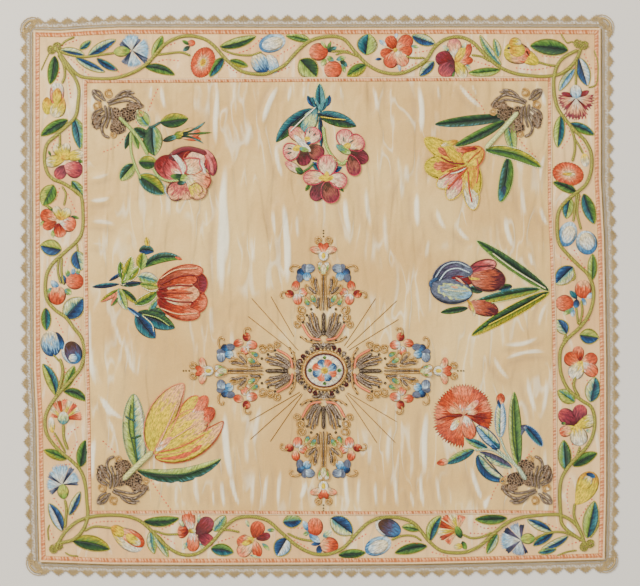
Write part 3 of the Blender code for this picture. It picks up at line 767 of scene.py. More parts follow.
def cord(bundle, path, width, shade="cord", height=None, lift=0.0, closed=False, sides=CORD_SIDES,
         ridges=0.0, ridge_depth=0.0, on_cloth=True, taper=1.0):
    """A cord of elliptical section along a path of sheet points, its ends drawn in to a point.

    With ridges, its width swells and shrinks every ridges mm, as coiled wire does.
    """
    path = np.asarray(path, float)
    width = np.broadcast_to(np.asarray(width, float), len(path))
    height = width * 0.6 if height is None else np.broadcast_to(np.asarray(height, float), len(path))
    if closed:
        slope = np.roll(path, -1, axis=0) - np.roll(path, 1, axis=0)
    else:
        slope = np.gradient(path, axis=0)
    slope /= np.maximum(np.hypot(slope[:, 0], slope[:, 1]), 1e-9)[:, None]
    side = np.column_stack([-slope[:, 1], slope[:, 0]])
    reach = np.concatenate([[0], np.cumsum(np.hypot(*np.diff(path, axis=0).T))])
    swell = np.ones(len(path))
    if not closed:
        swell = np.clip(np.minimum(reach, reach[-1] - reach) / (width * 0.6 * taper), 0, 1) ** 0.5
    if ridges:
        swell = swell * (1 - ridge_depth * (0.5 + 0.5 * np.cos(2 * np.pi * reach / ridges)))
    angle = 2 * np.pi * np.arange(sides) / sides
    out = (width / 2 * swell)[:, None] * np.cos(angle)
    up = (height / 2 * swell)[:, None] * np.sin(angle)
    u = path[:, :1] + side[:, :1] * out
    v = path[:, 1:] + side[:, 1:] * out
    floor = cloth_lift(path[:, 0], path[:, 1])[:, None] if on_cloth else 0.0
    thread = np.stack(np.broadcast_arrays(angle[None, :] * (width / 2)[:, None], reach[:, None]), axis=-1)
    share = np.broadcast_to(0.5 + 0 * angle[None, :], out.shape)
    layers = colour_layers(shade, out.shape)
    rise = (floor + lift) + (height * 0.42)[:, None] + up
    bundle.add(spot(u, v, rise), close_across=True, close_along=closed,
               thread=thread, share=share, rim=np.abs(np.cos(angle))[None, :] + 0 * out, **layers)


def curl(centre, radius, start, turns, rise=0.35):
    """Path of a spiral curl: the radius grows with the angle from the centre out."""
    t = np.linspace(0, 1, int(14 * abs(turns)) + 4)
    angle = np.radians(start) + 2 * np.pi * turns * t
    far = radius * (rise + (1 - rise) * t)
    return np.column_stack([centre[0] + far * np.cos(angle), centre[1] + far * np.sin(angle)])


def outline(row, grow=0.3):
    """The edge of a leaf's row, a little outside its stitches."""
    share = (1 - np.cos(np.linspace(0, np.pi, 14))) / 2
    line, side, _ = spine((row["u"], row["v"]), (row["tip_u"], row["tip_v"]), row["bend"], share)
    reach = half_width(share, row["width"], row.get("widest", 0.48), row.get("blunt", 0.8))
    reach = (reach + grow)[:, None]
    return np.vstack([line - side * reach, (line + side * reach)[-2:0:-1]])


print("petal, leaf, fan and cord are ready")

# %% Silk finish
paint = Paint("silk", Roughness=0.45, Sheen_Weight=0.08, Sheen_Roughness=0.4, Specular_IOR_Level=0.4)
stretched = paint.thread_map(0.8, 0.10)
streak = paint.noise(stretched, 1.0, 3.0, 0.7)
jag = paint.value("share") + (streak - 0.5) * 1.7
silk = paint.mix(jag.ramp(0.22, 0.46), paint.value("heart", "Color"), paint.value("body", "Color"))
silk = paint.mix(jag.ramp(0.58, 0.84), silk, paint.value("tip", "Color"))
fine = paint.noise(paint.thread_map(0.62, 0.2), 1.0, 4.0, 0.8)
# Each patch is darkened towards its rim: painted shade where its padding slopes down to the cloth.
silk = paint.shade(silk, fine.ramp(0.36, 0.64, 0.46, 1.4) * paint.value("rim").ramp(0.7, 1.0, 1.0, 0.52))
threads = paint.make("ShaderNodeTexWave", dict(wave_type="BANDS", bands_direction="X"),
                     {"Vector": paint.thread_map(1.0, 0.02), "Scale": 0.8, "Distortion": 0.6})
relief = paint.bump(threads * 0.5 + fine * 3.0, 0.0004, 0.8)
silk_finish = paint.finish(Base_Color=silk, Roughness=fine.ramp(0.2, 0.8, 0.36, 0.5), Normal=relief)

# %% Couched cord finish
paint = Paint("couched_cord", Roughness=0.5, Sheen_Weight=0.06)
slant = paint.make("ShaderNodeTexWave", dict(wave_type="BANDS", bands_direction="DIAGONAL"),
                   {"Vector": paint.thread_map(1.0, 1.0), "Scale": 0.3, "Distortion": 0.8})
fibre = paint.noise(paint.thread_map(1.1, 0.5), 1.0, 3.0, 0.7)
twist = paint.mix(slant.ramp(0.2, 0.8), paint.value("heart", "Color"), paint.value("body", "Color"))
twist = paint.mix(slant.ramp(0.7, 1.0, 0.0, 0.7), twist, paint.value("tip", "Color"))
# The twist's grooves are darkened as painted shade, and the cord is lightened along its top and darkened at
# its sides as painted light and shade.
twist = paint.shade(twist, fibre.ramp(0.35, 0.65, 0.5, 1.36) * slant.ramp(0.0, 0.5, 0.7, 1.08)
                    * paint.value("rim").ramp(0.5, 1.0, 1.12, 0.55))
relief = paint.bump(slant + fibre * 0.4, 0.0003, 0.8)
cord_finish = paint.finish(Base_Color=twist, Roughness=fibre.ramp(0.2, 0.8, 0.42, 0.58), Normal=relief)

# %% [markdown]
# ## The flower border
#
# A vine waves round the border between the two braids, with berries, plums,
# daisies, pansies and cornflowers in its bends. Each side is written as
# tables read off the pattern sheet. A leaf row gives base, tip, width, the
# sideways bend of its middle, and the shades of its left and right half, seen
# from the base. A petal row gives one shade. A fan row gives a hub, radius,
# and the angles it spans.

# %% Border leaves
LEAF_COLUMNS = "u v tip_u tip_v width left right bend line"
BORDER_LEAVES = tables(LEAF_COLUMNS, """
top
59.5 51 84.5 55 8 mist navy -1
80 49.5 91 41 6 jade teal
88.5 56 116 40 9.5 mist navy -1
76 58 105 72 7.5 navy mist 1
97 58.5 118 70.5 7 teal navy 1
54.8 56 50 84.5 10.5 pine fern -1
153 58 162.5 36 9 lime fern
145 67 174.6 75 9 pine fern -2
220 47 256 36.5 10 lime pine 1
224 58 210 77 10 teal fern 1
230 60.5 248 66.5 7 fern moss
310 41 286 36 8 fern lime 1
300 60 316.5 77 20 pine lime
366 55 368.5 34 20 teal lime
366 65 347 76 11 moss fern
412 36 435 44 11 mist navy
434 61.5 419.5 76 9.5 navy mist
501 65 480 35.5 7.5 jade mist -2
498 58 494 39 7 jade mist 1
500 70 468.5 73 8.5 lime fern -1
568 50.5 530 46 16 pine fern 1
right
579 58 587.5 86 13 cloud navy
574.5 69 559 91 8.5 sky mist 1
560.5 116 557.5 147.5 11 teal lime
569 124 594 135 9 teal fern -1
576 193 553 182.5 9.5 fern pine 1
570 198 566 218.5 11 lime teal
583.5 194 594 224 12.5 fern teal
592 280 592.5 254 9 lime fern
573 267 555.5 284 17 mist navy
566.5 334 557.5 319.5 12 mist navy
579.5 335 598.5 338 15 calyx navy
590.5 402 595 377 15 mist teal
574.5 402 558 390.5 13 calyx jade
565.5 470 563.5 440 13 jade pine
573 466 597 453 11 fern pine -1
587 538 594.5 501 15 lime teal
bottom
73 541 110 549 15 moss pine -2
144 521 179 518 10 fern pine 2
151 531 154.5 553.5 9 jade mist 1
153 533 168 557 8 jade mist -1
214 531 225.5 515.5 11 mist jade
211 549 233.5 552.5 12 fern teal -1
287.5 538 277 556 17 cloud navy
283 522 302 520 13 jade navy
331 518 352.5 534 18 navy mist
338.5 555 365.5 552.5 9 fern pine
419.5 530 402 527 7.5 fern lime 1
427 546 395 553 10 fern pine 1
430 541 441 516 11 lime teal -3
507 518 475 519 9.5 fern pine -1
497.5 534 487 553.5 8.5 mist fern
551.5 531.5 527 519.5 8.5 mist navy
553 533 533 545.5 7.5 navy teal
568 536 541 549.5 7.5 navy mist -1
556 549 538 552.5 6 teal jade
left
68 120 41 136 10.5 pine fern 1
74 118 80 149 12.5 jade teal -2
53.5 185 43 205.5 16 fern calyx
72 181 84.5 197.5 9.5 jade fern
61.5 250 40.5 245.5 16 navy calyx
76.5 251 81 270.5 15 mist navy
65 318 83 298 20 mist navy
46 308 46.5 330.5 9.5 teal fern
56 395 43 364 11.5 calyx teal 2
64 390 74.5 366 9.5 lime fern
64 391.5 86 401 9 pine fern -3
66.5 459 44 450 9 moss fern
80.5 467 85.5 440 12 fern pine
62.5 531 49 503.5 11.5 cloud navy 1
69.5 515 80.5 491.5 8 mist navy
""", bend=0, line="none")
print("border leaves:", sum(len(rows) for rows in BORDER_LEAVES.values()))

# %% Border petals, berries and plums
BORDER_PETAL_COLUMNS = "u v tip_u tip_v width shade blunt lift widest bend"
BORDER_PETALS = tables(BORDER_PETAL_COLUMNS, """
top
130 50.5 113.5 52.5 11 calyx 0.6 0.5
187.5 43.8 195.5 42.6 7.5 berry
190 45 182 40.5 4 fern 0.8 0.1
190 46.5 183 51 5 bottle 0.8 0.1
285.5 39 259 47.5 20 shell_blue
283 41 262 46.5 14 plum_heart 0.5 0.5
268 55 276 73 14 cloud
255 54 266 72.5 19 plum 0.5 0.3
309 52 328 52 18 berry 0.5 0.2
324 69.5 342 70 18 berry 0.5 0.2
327 51 321 41 4.5 lime 0.8
327 51 331 41.5 4 fern 0.8
327 52 337 47 6 bottle 0.8
326 59 321.5 66 6 lime 0.8 0.1
334 61 326 57 6 jade 0.8
336 60 346 57.5 6 jade 0.8
340 60 347.5 67 5.5 bottle 0.8 0.1
342 63 345 73 4.5 jade 0.8 0.1
396.5 50 387.5 36.5 13 ember 0.5 0 0.62
394.5 52 380 54 11 ember 0.5 0 0.6
396 50 411.5 37 14.5 flame 0.5 0.2 0.62
396 50 412.5 50.5 13 flame 0.5 0.3 0.6
395.5 51 387.5 67.5 15 flame 0.5 0.4 0.6
396 50.5 406 65.5 14 blush 0.5 0.5 0.6
393 50.5 397.5 50 4.5 sun 0.5 0.9
396 38.5 396.5 32.5 4 cloud 0.8
386.5 46 379 40 5 cloud 0.8
382 59 375 59.5 3.5 navy 0.8
398.5 62 400 71.5 4 cloud 0.8
411 46 419 47.5 3.5 jade 0.8
455 63 438 53 17 garnet 0.5 0.1 0.6 -2
455 63 443 77 18 maroon 0.5 0.3 0.55 2
455.5 58 453.5 38.5 15 shell 0.5 0.1 0.62
457.5 62 470 44.5 11 flame 0.5 0.2 0.55 1
457.5 62 473 60 9 flame 0.5 0.1 0.55
455.5 63 465 47 9 sun 0.6 0.6
455.5 61 464 79 12 primrose 0.5 0.4 0.6 -1
449 51 442.5 45.5 5 mist 0.8 0.2
462 51 466 42.5 4.5 mist 0.8 0.4
454 70 452.5 78.5 3.5 fern 0.8
466 64 471 71 3.5 mist 0.8
513 49 539 64 15 sun 0.6
504 50 531 57 22 apricot 0.5 0.2 0.45
509 42 521 45 12 honey 0.5 0.5
509.5 50.5 525 50.5 15 sun 0.5 0.7
507 49 510 47.5 1.8 ink 0.6 1.1
right
575 85 576.5 98.5 12 cloud 0.5 0.7
576 98 561 93 6 garnet 0.7 0.1 0.55
577 97.5 589 91 6 garnet 0.7 0.1 0.55
584 153.5 586 167 9.5 butter 0.6
562 174 575 174.5 4 honey 0.5 0.9
572 222 563 246.5 20 shell_blue
571.5 226 565 243 14 plum_heart 0.5 0.5
583 231 590 254.5 22 shell_blue 0.5 0.1
584 233 589.5 250 16 plum_heart 0.5 0.6
583 280 583 298.5 17 flame 0.5 0.2
555.5 303 573.5 303.5 17 berry 0.5 0.2
577 299 569.5 290.5 6 teal 0.7
577 299 575.5 308.5 7 navy 0.7 0.1
582 298 585.5 305.5 5 sky 0.7 0.1
587 298.5 592.5 293 6 cloud 0.7 0.1
574 308 563 314.5 6 jade 0.7
573 309 572.5 317 5 sky 0.7
578 364 578 346 13 scarlet 0.5 0 0.62
579 366 565.5 354 15 flame 0.5 0.2 0.6
582 365 596.5 355.5 14 flame 0.5 0.1 0.6
582 362 596.5 375 14 coral_rim 0.5 0.3 0.6
582.5 361 571.5 378 16 butter 0.5 0.5 0.62
577 425 558.5 412 16 maroon 0.5 0.2 0.6 1
576 425 582 404.5 16 maroon 0.5 0 0.6
576 426 595 418.5 13.5 primrose 0.5 0.3 0.6
575 427 559.5 433.5 12 apricot 0.5 0.2 0.62
576 424 580.5 445.5 18 butter 0.5 0.5 0.62
561 424 566 422 4 fern 0.7
586 430 591 432 4 mist 0.7
575 505 590.5 471 24 pear 0.5 0 0.64 3
583 489 590 476 11 primrose 0.5 0.8
586 473.5 595 477 5.5 navy 0.6 0.7
bottom
110.5 526.5 142 549.5 22 butter 0.55 0 0.6
120 530 144 545.5 16 flame 0.5 0.4 0.55
126 534.5 140.5 544.5 10 primrose 0.5 0.9
112 526.5 124.5 535.5 11 sun 0.5 0.6
189 532 177.5 531 15 scarlet 0.5 0 0.6
191.5 531 187 511 14 coral_rim 0.5 0.2 0.64
193 530 193 551.5 13.5 coral_rim 0.5 0.3 0.64
196 534 212.5 519 17 garnet 0.5 0.2 0.6
198 533 213 544.5 14 maroon 0.5 0 0.6
188.5 530.5 196 531 5 honey 0.5 0.9
198 523 199.5 513 4 mist 0.8
184 527 179 519.5 4.5 mist 0.8 0.2
188 542 182.5 549.5 5 mist 0.8 0.1
200 543 203.5 549.5 3.5 mist 0.8
253.5 538 260.5 521.5 16 ember 0.5 0 0.6
256 539 270.5 535 9 garnet 0.5 0 0.6
254 538 237.5 538.5 14 apricot 0.5 0.3 0.6 -3
252 541 242 544 6 sun 0.5 0.8
252 541 239 555.5 15 blush 0.5 0.2 0.6
254 540 259 557 10.5 flame 0.5 0.1 0.6
249 527 246 519.5 4 mist 0.8
267 530 275 530 4.5 jade 0.8
262 543 270 550.5 4.5 jade 0.8
250 555 261 557.5 3 mist 0.8
315 517.5 315 536 16.5 berry 0.5 0.2
320.5 545 338.5 546 17.5 flame 0.5 0.2
308 531 303.5 520.5 6 sky 0.7
309 532 303 535 5 jade 0.7
309 534 320 542.5 7.5 sky 0.7 0.1
323 537 331.5 530.5 7 mist 0.7
321 543 311 544.5 4.5 navy 0.7
320 545 318.5 554 7 navy 0.7
375.5 522 400.5 533 20 cloud
378 522.5 400.5 533 17.5 dusk_plum 0.5 0.3
391 541 365 551 20 shell_blue
388 543 368.5 550 14 plum_heart 0.5 0.5
461 538 456 526 7.5 fern 0.6 0.7
462 541 466 549.5 6 fern 0.6
463 545.5 453.5 547 6.5 honey 0.6 0.1
535 538.5 520.5 538.5 11 calyx 0.6 0.6
left
57.5 83 56.5 108 15 coral_rim 0.5 0.1 0.4
47 97 47.5 115 11 sun 0.6
64 98 53 117 17 honey 0.6 0.2 0.6
58 88 56.5 105 9.5 sun 0.6 0.8
65 158 55 144.5 12 primrose 0.5 0.1 0.62
65 158 67 143 9.5 primrose 0.5 0.2 0.62
65 158 84 153.5 11.5 primrose 0.5 0.1 0.62
66 158 45 163.5 12.5 primrose 0.5 0.3 0.62
61 157.5 70 158 5 sun 0.5 0.9
64 166 82.5 172.5 17.5 rosy 0.5 0.2 0.6
66 165 56.5 178.5 13.5 maroon 0.5 0 0.6
51 156 48.5 150.5 3 fern 0.8
78 161 84 162 3.5 fern 0.8
57 219 40.5 213.5 14 flame 0.5 0.2 0.6
57 222 43 227.5 11 ember 0.5 0 0.6
58 223 61.5 237.5 14 scarlet 0.5 0.1 0.6
60 221 76 226.5 16 coral_rim 0.5 0.3 0.6
62 221 55 206.5 9.5 honey 0.5 0.5 0.62
61 221 69 208.5 10.5 honey 0.5 0.5 0.62
55 212 45.5 204.5 3.5 fern 0.8
44 221 39.5 226 3.5 lime 0.8
53 230 53 238 4.5 lime 0.8
71 216 79.5 218.5 3.5 fern 0.8
66 281 84 281.5 17 berry 0.5 0.2
58.5 286 56 305 18 flame 0.5 0.2
69 278 67 269.5 5.5 jade 0.7
73 275 74 267.5 5 sky 0.7
77 275 79.5 268.5 4.5 jade 0.7
64.5 285 62.5 274.5 6.5 navy 0.7 0.1
59 289 51 280.5 7 sky 0.7 0.1
52 288 47 293.5 5 jade 0.7
65 289 71.5 294.5 7 jade 0.7 0.1
56 332 63.5 350 9 navy 0.6
49.5 331 53 356.5 21 plum 0.5 0.3
67 341.5 77 363.5 22 cloud
68.5 341.5 77 363.5 18.5 dusk_plum 0.5 0.3
69 358 77.5 358 9 cloud 0.5 0.9
63 424.5 64 411.5 12 mist 0.6 0.7
52.5 433 51 417 7.5 butter 0.6
64 499 62.5 484 11.5 calyx 0.6 0.7
""", blunt=0.5, lift=0, widest=0.5, bend=0)
print("border petals:", sum(len(rows) for rows in BORDER_PETALS.values()))

# %% Border fans: cornflowers, daisies and half-open blooms
FAN_COLUMNS = "u v radius start end shade teeth depth squash tilt"
BORDER_FANS = tables(FAN_COLUMNS, """
top
132 50.5 19.5 -45 27 cloud 60 0.2
132 50.5 18 -118 -62 cloud 60 0.2
132 50.5 19 52 108 cloud 60 0.2
132 50.5 15 -162 -132 ink_wedge 40 0.1
132 50.5 16 -135 -114 cloud 60 0.2
132 50.5 15 -64 -46 ink_wedge 40 0.1
132 50.5 20 24 48 ink_wedge 40 0.1
132 50.5 17 104 136 ink_wedge 40 0.1
203 62.5 16.8 0 360 flame 30 0.06 0.74 -68
203 62.5 9.5 0 360 blush 20 0.06 0.7 -68
203 62.5 6 0 360 sun 0 0 0.7 -68
right
576 98 20 -14 40 carnation 40 0.2
576 98 20 140 192 carnation 40 0.2
576 98 19 38 54 garnet 40 0.2
576 98 19 126 142 garnet 40 0.2
576 98 23.5 52 128 carnation 40 0.16
568 174 16.8 0 360 flame 30 0.06 0.74 12
568 174 9.5 0 360 blush 20 0.06 0.6 12
bottom
458 530.5 17 -96 -58 apricot 50 0.1
458 530.5 20 -122 -97 primrose 50 0.1
458 530.5 22 -146 -123 apricot 50 0.1
458 530.5 22.5 -172 -147 bronze 50 0.1
458 530.5 22.5 165 187 honey 50 0.1
458 530.5 21 146 164 bronze 50 0.1
458 530.5 18 118 145 apricot 50 0.1
521 540 20 -134 -98 lilac 60 0.16
521 540 17 -99 -76 dusk 40 0.1
521 540 21 -158 -135 dusk 40 0.1
521 540 23 150 204 cloud 60 0.2
521 540 20 130 152 dusk 40 0.1
521 540 17 74 130 lilac 60 0.14
521 540 15.5 58 75 dusk 40 0.1
left
63.5 419 14 -172 -152 scarlet 50 0.1
63.5 419 17.5 -151 -129 honey 50 0.1
63.5 419 20 -128 -112 apricot 50 0.1
63.5 419 20.5 -112 -95 bronze 50 0.1
63.5 419 21.5 -95 -77 apricot 50 0.1
63.5 419 21 -77 -61 honey 50 0.1
63.5 419 21 -60 -42 flame 50 0.1
63.5 419 20 -42 -26 honey 50 0.1
63.5 419 20 -25 6 scarlet 50 0.1
62.5 484.5 22.5 -126 -70 cloud 60 0.2
62.5 484.5 21 -70 -50 ink_wedge 40 0.1
62.5 484.5 20 -50 -10 cloud 60 0.2
62.5 484.5 17 -12 5 ink_wedge 40 0.1
62.5 484.5 20 -142 -126 cloud 60 0.2
62.5 484.5 18 -156 -141 ink_wedge 40 0.1
62.5 484.5 17.5 156 204 cloud 60 0.2
62.5 484.5 16 132 156 ink_wedge 40 0.1
""", squash=1, tilt=0)
print("border fans:", sum(len(rows) for rows in BORDER_FANS.values()))

# %% [markdown]
# The vine is a thick gold and green cord. Thinner cords make stems and the
# tangled knots in the corners, where the vine starts. Lines of small coral
# stitches follow the stems.

# %% Border vine, stems and dashes
VINES = groups("""
top
54 47 58 51 66 62 79 75.5 95.5 78.6 112 78.6 124 76 137 70.6 148 63 156 54
165 44.4 177 38 190 36 204 39 214 46 226.6 60 240 70.5 254 74 267.6 73.5 284 65.5
297.6 51 311 40.5 330 36.5 344 39.5 355 52 368.6 65.5 383.6 72.5 400 73.5 415 68 427 59
434 48 445 39.5 459 37 472 42 483 53 497 65.5 513 73 530 75.8 545 76.6 560 74
570 67 577 58 581 48
right
578 50 566 56 558 64 554 76 553.6 90 557 107 564 118 574 130 585 141 591 154
591 170 586 184 576 193 566 201 558.8 211 557 225 559 243 569 256 579 266 588 275
593 288 592.6 302 588 316 579 328 568 338 561 348 559.6 360 561 374 568 389 581 400
591 407 594.6 420 593 434 587 446 578 456 568 467 561.4 479 559.6 493 560.4 512 562 524
571 533 583 541
bottom
585 546 580 531 572 521 560 515 549 514.4 533 515.6 520 517.6 508 522 494 533 480.6 545
467 551.5 453 552.5 440 550 428 540 415 524 401 518 385 517 370 521.5 358 532 344 547
330 553.5 314 553.5 297.6 546 281 532 267.6 520.5 251 516.4 236 518.6 224 528 213 541 200 552
188 555 176 552 164 543.5 153 532 142 522 132 517.4 119 515 102 515.2 90 517 78 521
68 529 61 538 57 547
left
60 543 74 539 84 528 88 514 87 500 85.6 485 81 471 72 461 62 452.6 52.6 443
46.4 432 45.4 418 50 406 61 391 73 378 81.6 366 84.6 351 81.6 338 74 328 66 317.5
55 309.5 47.4 300 45.4 287 47.4 273 53.6 262.6 64 253 77 241 82.6 230 83.2 212 81 196
72 188.6 63 183 53 179 46.8 171 44.6 157 47.4 144 55.6 136 68 125 76 115.6 78.4 101
79 90 75 78 66 66 58 54
""")
STEMS = groups("""
top
2.4 58 50 70 55 85 57 100 55 115 53
2.4 157 55 168 53.6 181 52.4 191 56
2.2 221 49 234 54 250 55.4 262 52
2.2 359 57 345 52.4 335 55
2.2 350 52 340 51 331 52
2.2 425 58 412 58 405 56
2.2 490 62 482 57 471 55
2.4 556 66 548 65 537 62
2 61 46 66 41 75 37
1.4 50 52 45 62 41 71
2.6 60 56 64 66 65 76 62 84
1.6 560.5 33 563 38 567 43 572 42 577 46
right
2.4 577 55 576 70 575.5 86
2.6 570 126 574 138 574.6 150 572 162
2.2 574 138 579 146 583 154
2.4 577 192 575 207 573 222
2.4 579 193 577 212 581 230
1.8 573 268 575 277 572 281
2.4 581 300 582 312 579 325
2.2 576 307 577 316 578 325
2.6 566 334 563 342
3 575.6 376 573.6 386 579 397
2.4 580 446 577 455 573 462
2.8 574.6 503 574 516 580 530 584 541
1.8 594 50 598 66 596 84 588 88
1.8 590 538 597 528 599 520
bottom
2.4 84 531 95 526.4 112 528
2.2 153 530 166 534 179 534
2.2 222 530 230 530 240 532
2.4 287 533 299 538.4 313 541
2 352 534 350 542 344 548
2.2 391 540 402 535.6 414 536 422 541
2.4 462 534 472 538 484 536 492 532
2.4 533 539 548 533 562 532 576 537
1.6 65 552 70 555 79 556
1.8 556 556 566 552 577 550
left
2.8 65 499 66.6 510 65 528
2.4 59 258 58 271 61 284
2.4 62 257 61.6 271 64 285
3.2 60 358 63 371 60 386 57 396
2 53 354 60 362
3 63.6 424 64 437 68 450
2.2 54 432 60 442 66 453
2.4 60 133 60 143 59 149
2.2 62 186 66 194 64 206
2 77 243 78 252
1.8 44 205 52 209
1.6 49 541 48 530 50 524
""")
DASHES = groups("""
top
62 46 80 39
68 57 90 76
98 57 114 43
103 60 124 76
152 65 164 60 180 61
160 49 178 42
228 55 248 50 262 38
224 63 238 74
274 58 296 45
278 72 292 66
330 41 352 53
347 67 362 60
415 53 432 50
402 71 418 62
470 44 492 61
474 61 494 67
516 68 534 70 556 66
542 56 560 58
56 88 60 68
right
584 54 592 70
576 64 572 76
566 124 570 136 562 148
577 134 586 152
580 196 580 212
561 204 570 196
574 250 582 264
560 256 586 268
583 312 584 322 592 318
569 376 576 394
587 380 588 396 592 400
572 440 574 458
590 442 580 458
570 478 567 492 568 508 571 516
592 499 578 520
586 118 574 120
bottom
82 528 98 522 124 521
78 538 94 538 110 546
162 529 174 524
161 535 176 544
218 542 236 536
226 530 238 524
290 528 302 528
294 540 308 548
352 542 366 534
392 548 404 541 420 544
474 522 484 528 498 527
470 533 488 534
432 552 448 556
545 523 562 530
568 545 580 541
484 548 492 538
left
56 84 60 72
68 74 71 98
52 148 58 134
69 130 70 142
56 200 60 186
68 194 76 212
50 276 60 260
64 266 68 256
56 318 64 334
74 320 82 332
46 358 60 382
66 368 63 386
72 388 82 374
54 436 62 452
68 434 80 426
70 456 78 440
54 498 66 514
72 518 78 504
50 530 55 540
58 466 70 464
""")
KNOTS = {"top": ((52, 50), (57, 47)), "right": ((578, 44), (584, 46)), "bottom": ((584, 547), (590, 544)),
         "left": ((54, 549), (59, 546))}


def lay_dashes(bundle, lines, shade="seed", every=3.8):
    """Small stitches every few mm along lines of sheet points, each thrown a little askew."""
    for line in lines:
        path = smooth_path(pairs(line), step=0.5)
        reach = np.concatenate([[0], np.cumsum(np.hypot(*np.diff(path, axis=0).T))])
        for mark in np.arange(0.5, reach[-1], every):
            here = np.array([np.interp(mark, reach, path[:, k]) for k in (0, 1)])
            ahead = np.array([np.interp(mark + 1, reach, path[:, k]) for k in (0, 1)]) - here
            angle = math.atan2(ahead[1], ahead[0]) + rng.normal(0, 0.3)
            half = rng.uniform(0.8, 1.15) * np.array([math.cos(angle), math.sin(angle)])
            petal(bundle, here - half, here + half, rng.uniform(1.2, 1.7), shade, blunt=0.5, pad=0.5,
                  rows=5, columns=5)


def lay_silk(bundle, cords, leaves, petals, fans):
    """All stitched shapes of a work, with a thin cord round each leaf."""
    for row in leaves:
        leaf(bundle, row)
        cord(cords, outline(row), 0.85, "leaf_cord", closed=True, sides=5)
    for row in fans:
        fan(bundle, (row["u"], row["v"]), row["radius"], row["start"], row["end"], row["shade"],
            row["squash"], row["tilt"], row["teeth"], row["depth"],
            lift=0.5 * (17 - row["radius"]) / 17 * (row["end"] - row["start"] > 359))
    for row in petals:
        petal(bundle, (row["u"], row["v"]), (row["tip_u"], row["tip_v"]), row["width"], row["shade"],
              bend=row["bend"], widest=row["widest"], blunt=row["blunt"], lift=row["lift"])


for side in SIDES:
    silks, cords = Bundle(), Bundle()
    lay_silk(silks, cords, BORDER_LEAVES[side], BORDER_PETALS[side], BORDER_FANS[side])
    lay_dashes(silks, DASHES[side])
    cord(cords, smooth_path(pairs(sum(VINES[side], [])), step=1.6), 3.5, "vine", 1.7, sides=8)
    for width, *points in STEMS[side]:
        cord(cords, smooth_path(pairs(points), step=1.6), width, "vine")
    for number, (u, v) in enumerate(KNOTS[side]):
        cord(cords, curl((u, v), 4.6, 70 * number + 20, 1.7), 1.4, "vine", lift=0.5)
        cord(cords, curl((u + 1.5, v - 1), 3.0, 200 - 50 * number, -1.4), 1.2, "vine", lift=0.8)
    finish_piece(silks.mesh("border_silk_" + side), silk_finish, "silk_green", "border_" + side)
    finish_piece(cords.mesh("border_cord_" + side), cord_finish, "silk_green", "border_" + side)

# %% [markdown]
# ## Seven flower sprigs
#
# The field holds a rose, pansies, a lily, an anemone, an iris, a tulip and a
# carnation. They are written as the border is, with one more column: the dye
# of a thin cord round the shape, or none. Shapes further down a table lie on
# those above, so each row is lifted a little more than the one before.

# %% Sprig leaves
SPRIG_LEAVES = tables(LEAF_COLUMNS, """
rose
131 131 125 149.5 6.5 pine bottle
133 133 138.5 149.5 7 fern lime
150 138 134 128 10 bottle pine
149 126 138.5 109.5 13 jade lime -1 cream
153 125 155 156 20 jade pine 1
160 122.5 188.5 118.5 15 moss pine
138.5 162 158 163 14 moss pine 0 pale
134 164 120.5 180 12 lime bottle 0 lime
139 176 164 194 17 moss bottle -1 jade
pansies
321 113 319.5 83.5 10 teal sea 0 pale
316 107 307.5 95.5 6.5 navy teal -1
325 107 329.5 95 6 teal navy 1
319 112 311.5 97 7.5 teal sea 1
321 112 328.5 98 7.5 sea teal -1
314 109 276 142.5 15 pine teal 3
317 114 356.5 126.5 14.5 teal pine -1
320 115 321.5 148 5.5 ink teal
322 172 312.5 162 7 teal navy
331 172 342 167 6 teal navy
310 184 305.5 191 4 fern fern
338 184 343.5 192 4 fern fern
lily
508 117 434.5 124.5 11.5 bottle pine
505 121 455 146 10.5 pine fern -1
508 158 500 202 13 fern bottle -2 lime
509 118 514 151 13 lime jade 1
485 150 541 167.5 11.5 moss fern -5 cream
anemone
92 287 120 284 5.5 teal ink
120 285 143 283 6 ink bottle
109 281 124 272 4 navy ink
123 281 120.5 261.5 8 fern moss 0 cream
122 285 131.5 256.5 11 moss lime 1 cream
127 281 139.5 267 8 lime moss 0 cream
141 270 143 252 12 moss lime
139 251.5 154 252 10 bottle navy -2
148 247 146.5 237 5.5 straw honey
143 268 182 259 10.5 bottle fern -6
138 276 158.5 281 13 mist jade
140 284 158.5 287 8 moss calyx
134 304 158.5 290 9 moss fern 2 cream
148 313 159 298 6 jade sea
121 289 100.5 302 6.5 salmon moss
121 292 111 306 6 fern salmon
122 289 138 304 7 pine moss
119 288 127 310 10 lime mist 1
127 307 142 318 4.5 navy sky
148 311 166 314 10 pine bottle
136 314 155.5 338 16 navy teal 1
138 312 175 328 17 pine teal
iris
549 291 476.5 240.5 11.5 fern pine 0 pale
549 292 471.5 335.5 12 moss pine 1 straw
468 308 440.5 312.5 7 pine pine
483 291 469 288 8 pine bottle
512 286 498 290 8 teal pine
541 289 473 303 10 moss bottle 1 pale
tulip
139 468 134 394 23 lime mist -2 jade
137 470 221.5 458.5 15 lime bottle 11
carnation
519 439 529 426 8 dusk slate -4
525 426 542 446 8.5 navy teal -1 sky
512 468 479 452 10 mist dusk
478 455 505 479.5 12 mist navy 6 teal
488 449 465 438.5 8 jade teal
499 448 477 426 11.5 sky mist 0 navy
499 450 491 441 9 navy teal
500 437 500.5 401 10.5 mist cloud 0 sky
474 449.5 446 463.5 10 teal jade
518 467 514 391.5 13.5 lime fern -1
""", bend=0, line="none")
print("sprig leaves:", sum(len(rows) for rows in SPRIG_LEAVES.values()))

